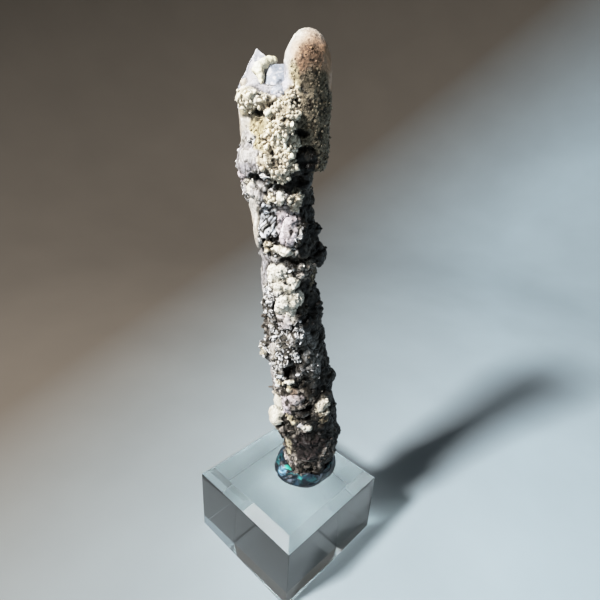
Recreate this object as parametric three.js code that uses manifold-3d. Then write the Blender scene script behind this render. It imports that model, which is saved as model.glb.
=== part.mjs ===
// A quartz crystal column standing in a wad of mounting putty on a clear acrylic block.
// Millimetres, +Z up. The origin is the centre of the block's underside.
//
// The column is one solid: a stem of grown-together crystal, a blunt finger crystal and two pointed
// crystals at its head, and the lumps of druse that crust it. Its foot stands in a socket pressed
// into the putty, and the putty is flat where it sticks to the block's top.

import * as THREE from 'three';
import { mergeVertices } from 'three/addons/utils/BufferGeometryUtils.js';
import Module from 'manifold-3d';

const wasm = await Module();
wasm.setup();

// ---- Driving dimensions ----

const BLOCK_SIDE = 39.2;
const BLOCK_HEIGHT = 24.8;
const BLOCK_BEVEL = 2.9;
const BLOCK_BROKEN_EDGE = 0.4;

// Where the putty sticks to the block's top, and how far the specimen is turned about it.
const FOOT_X = 3.5;
const FOOT_Y = 3.0;
const FACING = THREE.MathUtils.degToRad(42.4);

const PUTTY_HEIGHT = 7.2;
const PUTTY_RADIUS_X = 9.0;
const PUTTY_RADIUS_Y = 8.4;
const SOCKET_GAP = 0.3;

const STEM_SIDES = 26;
const STEM_RINGS = 50;

// Sections of the stem, from the foot up. Heights are above the block's top. Left and right are
// along X, front and back along Y, all from the point where the foot stands.
const STEM_SECTIONS = [
  { height: 2.0, left: -4.0, right: 4.8, front: -4.6, back: 4.4 },
  { height: 4.4, left: -6.0, right: 7.2, front: -6.8, back: 6.2 },
  { height: 9.0, left: -6.2, right: 8.7, front: -7.6, back: 6.8 },
  { height: 15.0, left: -6.6, right: 9.4, front: -8.0, back: 7.2 },
  { height: 23.0, left: -7.8, right: 8.3, front: -8.0, back: 7.4 },
  { height: 30.0, left: -10.0, right: 7.0, front: -7.9, back: 7.4 },
  { height: 37.0, left: -11.2, right: 5.4, front: -7.7, back: 7.3 },
  { height: 45.0, left: -12.8, right: 4.0, front: -7.6, back: 7.2 },
  { height: 52.0, left: -13.5, right: 2.2, front: -7.4, back: 7.0 },
  { height: 59.0, left: -13.9, right: 1.3, front: -7.2, back: 6.8 },
  { height: 67.0, left: -14.4, right: -0.7, front: -6.8, back: 6.6 },
  { height: 75.0, left: -15.7, right: -0.8, front: -6.7, back: 6.8 },
  { height: 82.0, left: -17.4, right: -2.2, front: -6.8, back: 7.2 },
  { height: 88.0, left: -18.8, right: -3.0, front: -7.4, back: 7.8 },
  { height: 94.0, left: -19.5, right: -2.4, front: -8.2, back: 8.2 },
  { height: 101.0, left: -18.8, right: -2.4, front: -8.2, back: 8.2 },
  { height: 108.0, left: -19.0, right: -3.0, front: -7.6, back: 7.8 },
  { height: 111.0, left: -18.0, right: -6.0, front: -5.6, back: 6.0 },
];

// The blunt crystal, upright at the head's right, with a broken lower end.
const FINGER = { x: -4.6, y: -2.2, base: 93.4, tip: 121.2, radius: 5.2, lean: 2.0, sides: 24 };

// Pointed crystals: six-sided prisms that taper to a point.
const POINTED_CRYSTALS = [
  { x: -13.9, y: 0.4, base: 88, shoulder: 107.8, tip: 117.4, radius: 5.7, lean: -5.0, turn: 12 },
  { x: -11.4, y: 2.6, base: 90, shoulder: 107.0, tip: 113.6, radius: 4.6, lean: 3.0, turn: 40 },
  { x: -8.6, y: 4.4, base: 86, shoulder: 103.0, tip: 111.0, radius: 4.8, lean: 5.0, turn: 20 },
];

// Lumps of crust grown onto the stem. The angle is the side of the stem that a lump sits on, in
// degrees from the right and through the back, so -90 is the front. It stands proud of the stem by
// `proud`, and half its width and half its height are along the stem's skin.
const LUMPS = [
  // The ball low on the left, and the spur above it.
  { height: 22.2, angle: -164, proud: 3.7, wide: 3.9, tall: 4.4 },
  { height: 43.8, angle: -174, proud: 1.6, wide: 3.0, tall: 2.6 },
  // The crust down the front, from the foot up.
  { height: 17.4, angle: -84, proud: 1.0, wide: 5.4, tall: 3.0 },
  { height: 26.4, angle: -52, proud: 1.3, wide: 3.8, tall: 3.4 },
  { height: 30.4, angle: -112, proud: 1.4, wide: 4.4, tall: 4.0 },
  { height: 38.6, angle: -128, proud: 1.0, wide: 3.6, tall: 4.4 },
  { height: 53.6, angle: -86, proud: 1.6, wide: 3.6, tall: 6.0 },
  { height: 63.4, angle: -106, proud: 1.6, wide: 4.2, tall: 4.0 },
  { height: 77.6, angle: -66, proud: 2.2, wide: 4.2, tall: 6.4 },
  { height: 78.4, angle: -136, proud: 1.4, wide: 3.8, tall: 5.4 },
  { height: 87.2, angle: -72, proud: 1.8, wide: 4.0, tall: 2.8 },
  // The druse of the head.
  { height: 107.2, angle: -146, proud: 1.4, wide: 5.6, tall: 3.4 },
  { height: 103.0, angle: -82, proud: 1.6, wide: 5.2, tall: 4.2 },
  { height: 94.4, angle: -158, proud: 1.2, wide: 5.4, tall: 4.4 },
  { height: 94.8, angle: -84, proud: 1.8, wide: 5.4, tall: 4.2 },
  { height: 100.0, angle: 118, proud: 1.4, wide: 5.6, tall: 6.4 },
  { height: 95.0, angle: 58, proud: 1.4, wide: 4.8, tall: 5.2 },
  // The dark knobs down the right, and the crust behind.
  { height: 79.0, angle: -6, proud: 1.4, wide: 4.0, tall: 3.0 },
  { height: 72.2, angle: 4, proud: 2.2, wide: 4.2, tall: 3.4 },
  { height: 58.6, angle: -8, proud: 0.8, wide: 4.4, tall: 4.6 },
  { height: 34.0, angle: 6, proud: 0.8, wide: 4.8, tall: 4.8 },
  { height: 50.0, angle: 96, proud: 1.2, wide: 4.8, tall: 6.0 },
  { height: 30.0, angle: 112, proud: 1.4, wide: 5.2, tall: 6.2 },
  { height: 72.0, angle: 108, proud: 1.4, wide: 4.6, tall: 6.6 },
];

// ---- Solids ----

/** The closed solid of a geometry, with its shared vertices merged. */
function solidOf(geometry) {
  geometry.deleteAttribute('normal');
  geometry.deleteAttribute('uv');
  const merged = mergeVertices(geometry, 1e-4);
  return new wasm.Manifold(new wasm.Mesh({
    numProp: 3,
    vertProperties: new Float32Array(merged.attributes.position.array),
    triVerts: new Uint32Array(merged.index.array),
  }));
}

/** The geometry of a solid. */
function geometryOf(solid) {
  const mesh = solid.getMesh();
  const geometry = new THREE.BufferGeometry();
  geometry.setAttribute('position', new THREE.BufferAttribute(mesh.vertProperties, 3));
  geometry.setIndex(new THREE.BufferAttribute(mesh.triVerts, 1));
  geometry.computeVertexNormals();
  return geometry;
}

/** Moves every vertex of a geometry by a function that changes the point in place. */
function reshape(geometry, change) {
  const positions = geometry.attributes.position;
  const point = new THREE.Vector3();
  for (let i = 0; i < positions.count; i += 1) {
    point.fromBufferAttribute(positions, i);
    change(point);
    positions.setXYZ(i, point.x, point.y, point.z);
  }
  return geometry;
}

/** A smooth, even unevenness between about -1 and 1, with a swell about `size` long. */
function unevenness(x, y, z, size) {
  const k = (2 * Math.PI) / size;
  const first = Math.sin(k * (x + 0.6 * y) + 1.3) * Math.sin(k * (0.8 * z - 0.5 * x) + 0.4);
  const second = Math.sin(k * (y - 0.7 * z) + 2.1) * Math.sin(k * (0.9 * x + 0.4 * z) + 5.2);
  return 0.5 * (first + second) + 0.3 * Math.sin(k * (1.7 * z + 0.8 * y - x));
}

// ---- Crystal ----

/** The stem's section at a height, between the two sections that are nearest to it. */
function sectionAt(height) {
  const last = STEM_SECTIONS.length - 1;
  let upper = 1;
  while (upper < last && STEM_SECTIONS[upper].height < height) upper += 1;
  const a = STEM_SECTIONS[upper - 1];
  const b = STEM_SECTIONS[upper];
  const t = THREE.MathUtils.smoothstep(height, a.height, b.height);
  const mix = (key) => THREE.MathUtils.lerp(a[key], b[key], t);
  return { left: mix('left'), right: mix('right'), front: mix('front'), back: mix('back') };
}

/** The stem: a closed column whose rings follow the sections, grown outwards by `grow`. */
function stem(grow) {
  const bottom = STEM_SECTIONS[0].height;
  const top = STEM_SECTIONS[STEM_SECTIONS.length - 1].height;
  const column = new THREE.CylinderGeometry(1, 1, top - bottom, STEM_SIDES, STEM_RINGS);
  column.rotateX(Math.PI / 2);
  column.translate(0, 0, (top + bottom) / 2);
  const hexagonSide = Math.PI / 3;
  const swell = 7;
  const swellDepth = 0.45;
  reshape(column, (point) => {
    const section = sectionAt(point.z);
    const angle = Math.atan2(point.y, point.x);
    const fromCentre = Math.hypot(point.x, point.y);
    const turn = THREE.MathUtils.euclideanModulo(angle, hexagonSide) - hexagonSide / 2;
    const hexagon = Math.cos(hexagonSide / 2) / Math.cos(turn);
    const roundness = 0.5 * (1.06 + hexagon);
    const halfX = (section.right - section.left) / 2;
    const halfY = (section.back - section.front) / 2;
    const dent = swellDepth * unevenness(halfX * point.x, halfY * point.y, point.z, swell);
    const middleX = (section.right + section.left) / 2;
    const middleY = (section.back + section.front) / 2;
    const reach = fromCentre > 0.5 ? 1 : 0;
    const outX = halfX * roundness + reach * (dent + grow);
    const outY = halfY * roundness + reach * (dent + grow);
    point.x = middleX + point.x * outX;
    point.y = middleY + point.y * outY;
    if (point.z === bottom) point.z -= grow;
  });
  return solidOf(column);
}

/** Leans a piece that stands on the XY plane by moving each height sideways along X. */
function leanAlongX(geometry, degrees) {
  const slope = Math.tan(THREE.MathUtils.degToRad(degrees));
  return reshape(geometry, (point) => {
    point.x += slope * point.z;
  });
}

/** The finger crystal: a blunt, slightly six-sided bullet with an uneven broken base. */
function fingerCrystal() {
  const { x, y, base, tip, radius, lean, sides } = FINGER;
  const height = tip - base;
  const shoulder = height - 1.5 * radius;
  const profile = [new THREE.Vector2(0, 0), new THREE.Vector2(0.86 * radius, 0)];
  for (const share of [0.12, 0.3, 0.5, 0.7, 0.86, 1]) {
    profile.push(new THREE.Vector2(radius * (0.97 + 0.03 * share), shoulder * share));
  }
  const capSteps = 8;
  for (let i = 1; i < capSteps; i += 1) {
    const a = (i / capSteps) * (Math.PI / 2);
    profile.push(new THREE.Vector2(radius * Math.cos(a), shoulder + 1.5 * radius * Math.sin(a)));
  }
  profile.push(new THREE.Vector2(0, height));
  const finger = new THREE.LatheGeometry(profile, sides);
  finger.rotateX(Math.PI / 2);
  const dent = 0.25;
  const brokenEnd = 1.1;
  reshape(finger, (point) => {
    const fromAxis = Math.hypot(point.x, point.y);
    if (fromAxis < 1e-6) return;
    const push = 1 + (dent / radius) * unevenness(point.x, point.y, point.z + base, 8);
    point.x *= push;
    point.y *= push;
    if (point.z === 0) point.z += brokenEnd * Math.sin(3 * Math.atan2(point.y, point.x));
  });
  leanAlongX(finger, -lean);
  finger.translate(x, y, base);
  return solidOf(finger);
}

/** A pointed crystal: a six-sided prism with a six-sided point. */
function pointedCrystal({ x, y, base, shoulder, tip, radius, lean, turn }) {
  const profile = [
    new THREE.Vector2(0, 0),
    new THREE.Vector2(radius, 0),
    new THREE.Vector2(0.94 * radius, shoulder - base),
    new THREE.Vector2(0, tip - base),
  ];
  const crystal = new THREE.LatheGeometry(profile, 6);
  crystal.rotateX(Math.PI / 2);
  crystal.rotateZ(THREE.MathUtils.degToRad(turn));
  leanAlongX(crystal, lean);
  crystal.translate(x, y, base);
  return solidOf(crystal);
}

/** One lump of crust: a flattened ball with an uneven skin, half sunk in the stem. */
function lump({ height, angle, proud, wide, tall }) {
  const turn = THREE.MathUtils.degToRad(angle);
  const section = sectionAt(height);
  const deep = 3.6;
  const middleX = (section.left + section.right) / 2;
  const middleY = (section.front + section.back) / 2;
  const outX = (section.right - section.left) / 2 + proud - deep;
  const outY = (section.back - section.front) / 2 + proud - deep;
  const roughness = 0.08;
  const swell = 4;
  const ball = new THREE.IcosahedronGeometry(1, 2);
  reshape(ball, (point) => {
    const push = 1 + roughness * unevenness(wide * point.x + height, wide * point.y, tall * point.z, swell);
    point.set(deep * push * point.x, wide * push * point.y, tall * push * point.z);
  });
  ball.rotateZ(turn);
  ball.translate(middleX + outX * Math.cos(turn), middleY + outY * Math.sin(turn), height);
  return solidOf(ball);
}

/** The whole crystal, joined in one solid. */
function quartzCrystal() {
  const grown = [fingerCrystal(), ...POINTED_CRYSTALS.map(pointedCrystal), ...LUMPS.map(lump)];
  return grown.reduce((crystal, piece) => crystal.add(piece), stem(0));
}

// ---- Putty ----

/** The putty wad: a pressed, uneven bun with a flat base, and the socket that the foot fills. */
function puttyWad() {
  const steps = 10;
  const profile = [new THREE.Vector2(0, 0), new THREE.Vector2(0.45, 0), new THREE.Vector2(0.84, 0)];
  for (let i = 1; i < steps; i += 1) {
    const a = THREE.MathUtils.lerp(-0.38, 0.5, i / steps) * Math.PI;
    profile.push(new THREE.Vector2(0.72 + 0.28 * Math.cos(a), 0.48 + 0.52 * Math.sin(a)));
  }
  profile.push(new THREE.Vector2(0.4, 1), new THREE.Vector2(0, 1));
  const wad = new THREE.LatheGeometry(profile, 40);
  wad.rotateX(Math.PI / 2);
  const bulge = 0.05;
  const rimHigh = 0.12;
  reshape(wad, (point) => {
    const angle = Math.atan2(point.y, point.x);
    const spread = 1 + bulge * Math.sin(2 * angle + 0.7) + 0.6 * bulge * Math.sin(5 * angle + 2);
    const rise = 1 + rimHigh * Math.sin(angle + 0.5) + 0.4 * rimHigh * Math.sin(4 * angle);
    point.x *= PUTTY_RADIUS_X * spread;
    point.y *= PUTTY_RADIUS_Y * spread;
    point.z *= PUTTY_HEIGHT * rise;
  });
  return solidOf(wad).subtract(stem(SOCKET_GAP));
}

// ---- Block ----

/** The clear block: a square slab with a wide bevel round its top and its bottom edges broken. */
function acrylicBlock() {
  const half = BLOCK_SIDE / 2;
  const outlines = [
    { height: 0, reach: half - BLOCK_BROKEN_EDGE },
    { height: BLOCK_BROKEN_EDGE, reach: half },
    { height: BLOCK_HEIGHT - BLOCK_BEVEL, reach: half },
    { height: BLOCK_HEIGHT, reach: half - BLOCK_BEVEL },
  ];
  const corners = [];
  for (const { height, reach } of outlines) {
    for (const x of [-reach, reach]) {
      for (const y of [-reach, reach]) corners.push([x, y, height]);
    }
  }
  return geometryOf(wasm.Manifold.hull(corners));
}

// ---- Assembly ----

/** A named mesh with a finish of its own. */
function piece(name, geometry, color, roughness) {
  const material = new THREE.MeshStandardMaterial({ color, roughness, metalness: 0 });
  const mesh = new THREE.Mesh(geometry, material);
  mesh.name = name;
  return mesh;
}

const specimen = new THREE.Group();
specimen.position.set(FOOT_X, FOOT_Y, BLOCK_HEIGHT);
specimen.rotation.z = FACING;
specimen.add(piece('quartz_crystal', geometryOf(quartzCrystal()), 0xb9b1a3, 0.55));
specimen.add(piece('putty_wad', geometryOf(puttyWad()), 0x1f3a4a, 0.6));

const part = new THREE.Group();
part.add(piece('acrylic_block', acrylicBlock(), 0xdfe7e6, 0.05));
part.add(specimen);

export default part;
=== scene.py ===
"""A crusted quartz column in a wad of putty on a clear block, dressed and lit for a studio still.

The specimen is made in its own space, in millimetres: right, away and up from the point on the
block where its foot stands, and it is turned into the row's frame, in metres, at the end. Lengths
are in millimetres where nothing else is said. Patches of crust, each with a place, a size and a
kind, shape the column's skin and set its colours, and small faceted grains are grown on that skin
by seeded draws.
"""

import itertools
import logging
import math
from dataclasses import dataclass, field
from enum import Enum
from typing import Self

import bmesh
import bpy
import numpy as np
from mathutils import Matrix, Vector


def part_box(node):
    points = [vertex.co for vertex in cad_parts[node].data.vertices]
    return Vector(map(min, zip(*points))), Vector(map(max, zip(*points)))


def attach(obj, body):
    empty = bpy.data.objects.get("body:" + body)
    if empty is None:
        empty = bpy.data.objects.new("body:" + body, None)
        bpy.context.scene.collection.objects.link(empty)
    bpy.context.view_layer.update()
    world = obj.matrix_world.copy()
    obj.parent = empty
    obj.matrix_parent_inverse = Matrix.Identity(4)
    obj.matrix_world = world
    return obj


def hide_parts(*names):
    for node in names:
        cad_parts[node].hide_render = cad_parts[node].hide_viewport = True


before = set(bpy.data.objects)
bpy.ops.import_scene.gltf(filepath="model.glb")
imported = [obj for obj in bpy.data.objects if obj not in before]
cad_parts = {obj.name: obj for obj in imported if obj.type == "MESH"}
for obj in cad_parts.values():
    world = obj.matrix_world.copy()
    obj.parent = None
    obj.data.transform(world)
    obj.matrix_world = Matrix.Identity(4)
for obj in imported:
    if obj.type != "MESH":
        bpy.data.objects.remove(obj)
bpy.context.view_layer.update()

log = logging.getLogger("specimen")

# Short names for types: a triple is a place, a reach or a colour, and a pair two numbers that
# belong together.
Array = np.ndarray
Object = bpy.types.Object
Socket = bpy.types.NodeSocket
Triple = tuple[float, float, float]
Pair = tuple[float, float]

# A millimetre in metres.
MM = 0.001
# The frame's body that every piece rides on.
BODY = "root"
# Which way the specimen faces, and where its foot stands on the block, in millimetres.
FACING_DEGREES = 42.4
FOOT = (3.5, 3.0)
# Where the column's skin is parted in two pieces, in millimetres above the block.
PARTING_HEIGHT = 58.0
# The height that the lamps look at, in metres.
AIM_HEIGHT = 0.07

# The odd numbers that stir a lattice cell and a seed into a random number.
CELL_KEYS = (73856093, 19349663, 83492791)
SEED_KEY = 26544357
STIR_KEY = 73244475
LOW_32_BITS = 0xFFFFFFFF
LOW_24_BITS = 0xFFFFFF
# Further than any cell's middle can be, in cell sizes.
BEYOND_CELLS = 9.0
# How firmly each pass of smoothing draws a vertex to its neighbours' middle.
SMOOTHING = 0.5

# Where the values of a noise texture mostly lie.
NOISE_SPAN = (0.25, 0.75)


# ---- Space ----


@dataclass(frozen=True)
class SpecimenSpace:
    """The specimen's own space, standing on the block and turned about the upright.

    Attributes:
        foot: Where the foot stands, in the row's frame, in metres.
        turn: How far the specimen is turned, in radians.
    """

    foot: Vector
    turn: float

    def axes(self) -> Array:
        """Returns the rows that turn a local row vector into the row's frame."""
        c, s = math.cos(self.turn), math.sin(self.turn)
        return np.array([[c, s, 0.0], [-s, c, 0.0], [0.0, 0.0, 1.0]])

    def to_frame(self, points: Array) -> Array:
        """Turns local points, in millimetres, into the row's frame, in metres."""
        return points @ self.axes() * MM + np.array(self.foot)

    def from_frame(self, points: Array) -> Array:
        """Turns points of the row's frame, in metres, into local millimetres."""
        return (points - np.array(self.foot)) / MM @ self.axes().T


# ---- Noise ----


def lattice_random(cells: Array, seed: int) -> Array:
    """Gives every cell of a lattice a fixed random number.

    Args:
        cells: Integer lattice coordinates, three to a row.
        seed: Picks one of many such lattices.

    Returns:
        One number from 0 to 1 for each row.
    """
    keyed = cells * np.array(CELL_KEYS)
    mixed = (keyed[:, 0] ^ keyed[:, 1] ^ keyed[:, 2] ^ seed * SEED_KEY) & LOW_32_BITS
    for shift in (15, 13):
        mixed = ((mixed ^ mixed >> shift) * STIR_KEY) & LOW_32_BITS
    return ((mixed ^ mixed >> 16) & LOW_24_BITS) / LOW_24_BITS


def smooth_noise(points: Array, size: float, seed: int) -> Array:
    """Smooth noise between -1 and 1.

    Args:
        points: Places to read, three to a row.
        size: How far apart the swells are.
        seed: Picks the pattern.

    Returns:
        One value for each row.
    """
    scaled = points / size
    base = np.floor(scaled).astype(np.int64)
    part = scaled - base
    ease = part * part * (3 - 2 * part)
    total = np.zeros(len(points))
    for corner in itertools.product((0, 1), repeat=3):
        weight = np.ones(len(points))
        for axis, side in enumerate(corner):
            weight *= ease[:, axis] if side else 1 - ease[:, axis]
        total += weight * lattice_random(base + np.array(corner), seed)
    return 2 * total - 1


def rough_noise(points: Array, size: float, seed: int, octaves: int = 3) -> Array:
    """Smooth noise summed at several sizes, each half the last, between about -1 and 1.

    Args:
        points: Places to read, three to a row.
        size: The largest swell.
        seed: Picks the pattern.
        octaves: How many sizes are summed.

    Returns:
        One value for each row.
    """
    total = np.zeros(len(points))
    for octave in range(octaves):
        total += smooth_noise(points, size / 2**octave, seed + 31 * octave) / 2**octave
    return total / (2 - 2.0 ** (1 - octaves))


def swirl(points: Array, size: float, seed: int, octaves: int = 1) -> Array:
    """Returns a noise for each axis at each point, three to a row, to bend space by."""
    return np.stack([rough_noise(points, size, seed + axis, octaves) for axis in range(3)], 1)


@dataclass
class Pebbles:
    """Packed cells, as a pebbled skin has, read at some points.

    Attributes:
        near: The distance to the nearest cell's middle, in cell sizes.
        gap: How much further the next cell's middle is, which is 0 on a crack between two.
        tag: A random number that each cell keeps.
        second_tag: Another.
        slope: The height of a flat facet that leans across each cell its own way.
    """

    near: Array
    gap: Array
    tag: Array
    second_tag: Array
    slope: Array

    @classmethod
    def at(cls, points: Array, size: float, seed: int) -> Self:
        """Packs cells of one size and reads them.

        Args:
            points: Places to read, three to a row.
            size: How wide a cell is.
            seed: Picks the pattern.

        Returns:
            What the cells say at those places.
        """
        scaled = points / size
        base = np.floor(scaled).astype(np.int64)
        near = np.full(len(points), BEYOND_CELLS)
        following = near.copy()
        offset = np.zeros((len(points), 3))
        owner = base.copy()
        for step in itertools.product((-1, 0, 1), repeat=3):
            cell = base + np.array(step)
            middle = np.stack([lattice_random(cell, seed + axis) for axis in range(3)], 1)
            apart = scaled - cell - middle
            away = np.linalg.norm(apart, axis=1)
            closer = away < near
            following = np.where(closer, near, np.minimum(following, away))
            near = np.where(closer, away, near)
            offset = np.where(closer[:, None], apart, offset)
            owner = np.where(closer[:, None], cell, owner)
        lean = np.stack([lattice_random(owner, seed + 5 + axis) for axis in range(3)], 1) - 0.5
        tag, second_tag = lattice_random(owner, seed + 3), lattice_random(owner, seed + 4)
        return cls(near, following - near, tag, second_tag, 2 * (offset * lean).sum(1))

    def dome(self, width: float = 0.8) -> Array:
        """Returns a round top for each cell, 1 in its middle and 0 at that width."""
        return 1 - np.clip(self.near / width, 0, 1) ** 2


def eased(values: Array, low: float, high: float) -> Array:
    """Goes smoothly from 0 at low to 1 at high, in either order."""
    part = np.clip((values - low) / (high - low), 0, 1)
    return part * part * (3 - 2 * part)


def within(values: Array, rise: Pair, fall: Pair) -> Array:
    """Goes from 0 to 1 over one stretch of values, and back to 0 over the other."""
    return eased(values, *rise) * eased(values, *fall)


def laid_over(tints: Array, tint: Triple, cover: Array) -> Array:
    """Lays one colour over a row of colours, by a share from 0 to 1 for each."""
    return tints * (1 - cover)[:, None] + np.array(tint) * cover[:, None]


# ---- Mesh helpers ----


def object_of(name: str, mesh: bpy.types.Mesh) -> Object:
    """Makes an object of a finished mesh and links it."""
    made = bpy.data.objects.new(name, mesh)
    bpy.context.scene.collection.objects.link(made)
    return made


def mesh_object(name: str, points: Array, faces: Array | list) -> Object:
    """Makes an object of a mesh and links it.

    Args:
        name: The object's name.
        points: Vertex places, three to a row.
        faces: Vertex numbers, a row or a list to each face.

    Returns:
        The new object.
    """
    mesh = bpy.data.meshes.new(name)
    mesh.from_pydata(points.tolist(), [], [list(map(int, face)) for face in faces])
    mesh.update()
    return object_of(name, mesh)


def copy_of_node(node: str, name: str, space: SpecimenSpace) -> Object:
    """Copies a node of the frame.

    Args:
        node: The node's name.
        name: The copy's name.
        space: The specimen's own space.

    Returns:
        The copy, a new object in that space.
    """
    made = object_of(name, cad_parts[node].data.copy())
    made.data.materials.clear()
    set_vertices(made, space.from_frame(vertices_of(made)))
    return made


def vertices_of(made: Object) -> Array:
    """Returns an object's vertex places, three to a row."""
    places = np.empty(len(made.data.vertices) * 3)
    made.data.vertices.foreach_get("co", places)
    return places.reshape(-1, 3)


def normals_of(made: Object) -> Array:
    """Returns an object's vertex normals, three to a row."""
    normals = np.empty(len(made.data.vertices) * 3)
    made.data.vertex_normals.foreach_get("vector", normals)
    return normals.reshape(-1, 3)


def set_vertices(made: Object, places: Array) -> None:
    """Moves an object's vertices to these places, three to a row."""
    made.data.vertices.foreach_set("co", np.ascontiguousarray(places, float).ravel())
    made.data.update()


def apply_modifier(made: Object, kind: str, **settings: object) -> None:
    """Adds one modifier to an object and applies it at once.

    Args:
        made: The object to change.
        kind: The modifier's type, such as REMESH.
        settings: The modifier's properties.
    """
    modifier = made.modifiers.new(kind.lower(), kind)
    for key, value in settings.items():
        setattr(modifier, key, value)
    graph = bpy.context.evaluated_depsgraph_get()
    baked = bpy.data.meshes.new_from_object(made.evaluated_get(graph))
    made.modifiers.clear()
    old = made.data
    made.data = baked
    bpy.data.meshes.remove(old)


def smooth(made: Object, passes: int) -> None:
    """Smooths an object's skin by that many passes."""
    apply_modifier(made, "SMOOTH", factor=SMOOTHING, iterations=passes)


def renew_skin(made: Object, voxel: float, passes: int) -> None:
    """Gives an object one new skin of even faces, and smooths it.

    Args:
        made: The object to change.
        voxel: The width of the new faces.
        passes: How many times it is smoothed.
    """
    apply_modifier(made, "REMESH", mode="VOXEL", voxel_size=voxel)
    smooth(made, passes)


def heights_over_smoothed(made: Object, passes: int = 24) -> Array:
    """Returns how far each vertex stands out of the same skin when it is well smoothed."""
    smoothed = object_of("smoothed", made.data.copy())
    smooth(smoothed, passes)
    apart = vertices_of(made) - vertices_of(smoothed)
    bpy.data.objects.remove(smoothed)
    return (apart * normals_of(made)).sum(1)


def write_values(made: Object, name: str, values: Array) -> None:
    """Keeps one number, or one colour of three numbers, for each vertex under a name.

    Args:
        made: The object whose mesh keeps them.
        name: The attribute's name, which materials read.
        values: A number or a row of three for each vertex.
    """
    if values.ndim == 1:
        kept = made.data.attributes.new(name, "FLOAT", "POINT")
        kept.data.foreach_set("value", values.astype(np.float32))
        return
    colour = np.ones((len(values), 4), np.float32)
    colour[:, :3] = values
    kept = made.data.attributes.new(name, "FLOAT_COLOR", "POINT")
    kept.data.foreach_set("color", colour.ravel())


def write_crust(
    made: Object, tints: Array, relief: Array, shine: Array | float, grit: Array | float
) -> None:
    """Keeps what the crusts' finish reads from a mesh.

    Args:
        made: The object whose mesh keeps it.
        tints: Each vertex's colour.
        relief: How far each vertex stands proud, from -1 to 1.
        shine: From 0, chalky, to 1, glassy: one number, or one for each vertex.
        grit: How strongly the skin is broken into fine grains, in the same way.
    """
    write_values(made, "tint", tints)
    write_values(made, "relief", relief)
    write_values(made, "shine", np.broadcast_to(shine, len(relief)))
    write_values(made, "grit", np.broadcast_to(grit, len(relief)))


def shade_smooth(made: Object, wanted: bool = True) -> None:
    """Sets whether every face of an object is shaded smooth."""
    made.data.polygons.foreach_set("use_smooth", [wanted] * len(made.data.polygons))
    made.data.update()


# ---- Crusts ----


class Habit(Enum):
    """The shapes that grains of crystal grow in."""

    NUGGET = "nugget"
    POINT = "point"
    PLATE = "plate"


@dataclass(frozen=True)
class CrustLook:
    """How one kind of crust looks and lies.

    Attributes:
        tint: Its main colour, linear.
        second: The colour that it wanders to.
        pebble: How wide its pebbles are.
        relief: How far its pebbles stand up.
        clump: How strongly it gathers in clumps.
        facet: From 0, round pebbles, to 1, flat leaning facets.
        crack: How dark the cracks between pebbles are painted, as painted shade, from 0 to 1; it
            also sets the painted shade in its hollows.
        gap: How wide those cracks are, in pebbles.
        bend: How strongly its pebbles are bent out of shape.
        soot: The share of its pebbles that are nearly black.
        pits: How deep its holes are, and how dark they are painted, as painted shade.
        grit: How strongly its skin is broken into fine grains, from 0 to 1.
        shine: From 0, chalky, to 1, glassy.
        ground: How bright it is between the loose grains on it, darker for painted shade between
            them.
        grain: How wide the loose grains on it are.
        crowd: How many of those there are to a square millimetre.
        habit: Their shape.
        glow: How much paler than the crust they are.
    """

    tint: Triple
    second: Triple
    pebble: float
    relief: float
    clump: float = 0.0
    facet: float = 0.0
    crack: float = 0.4
    gap: float = 0.2
    bend: float = 1.0
    soot: float = 0.0
    pits: float = 0.0
    grit: float = 0.3
    shine: float = 0.4
    ground: float = 1.0
    grain: float = 1.0
    crowd: float = 0.0
    habit: Habit = Habit.NUGGET
    glow: float = 1.0


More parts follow.
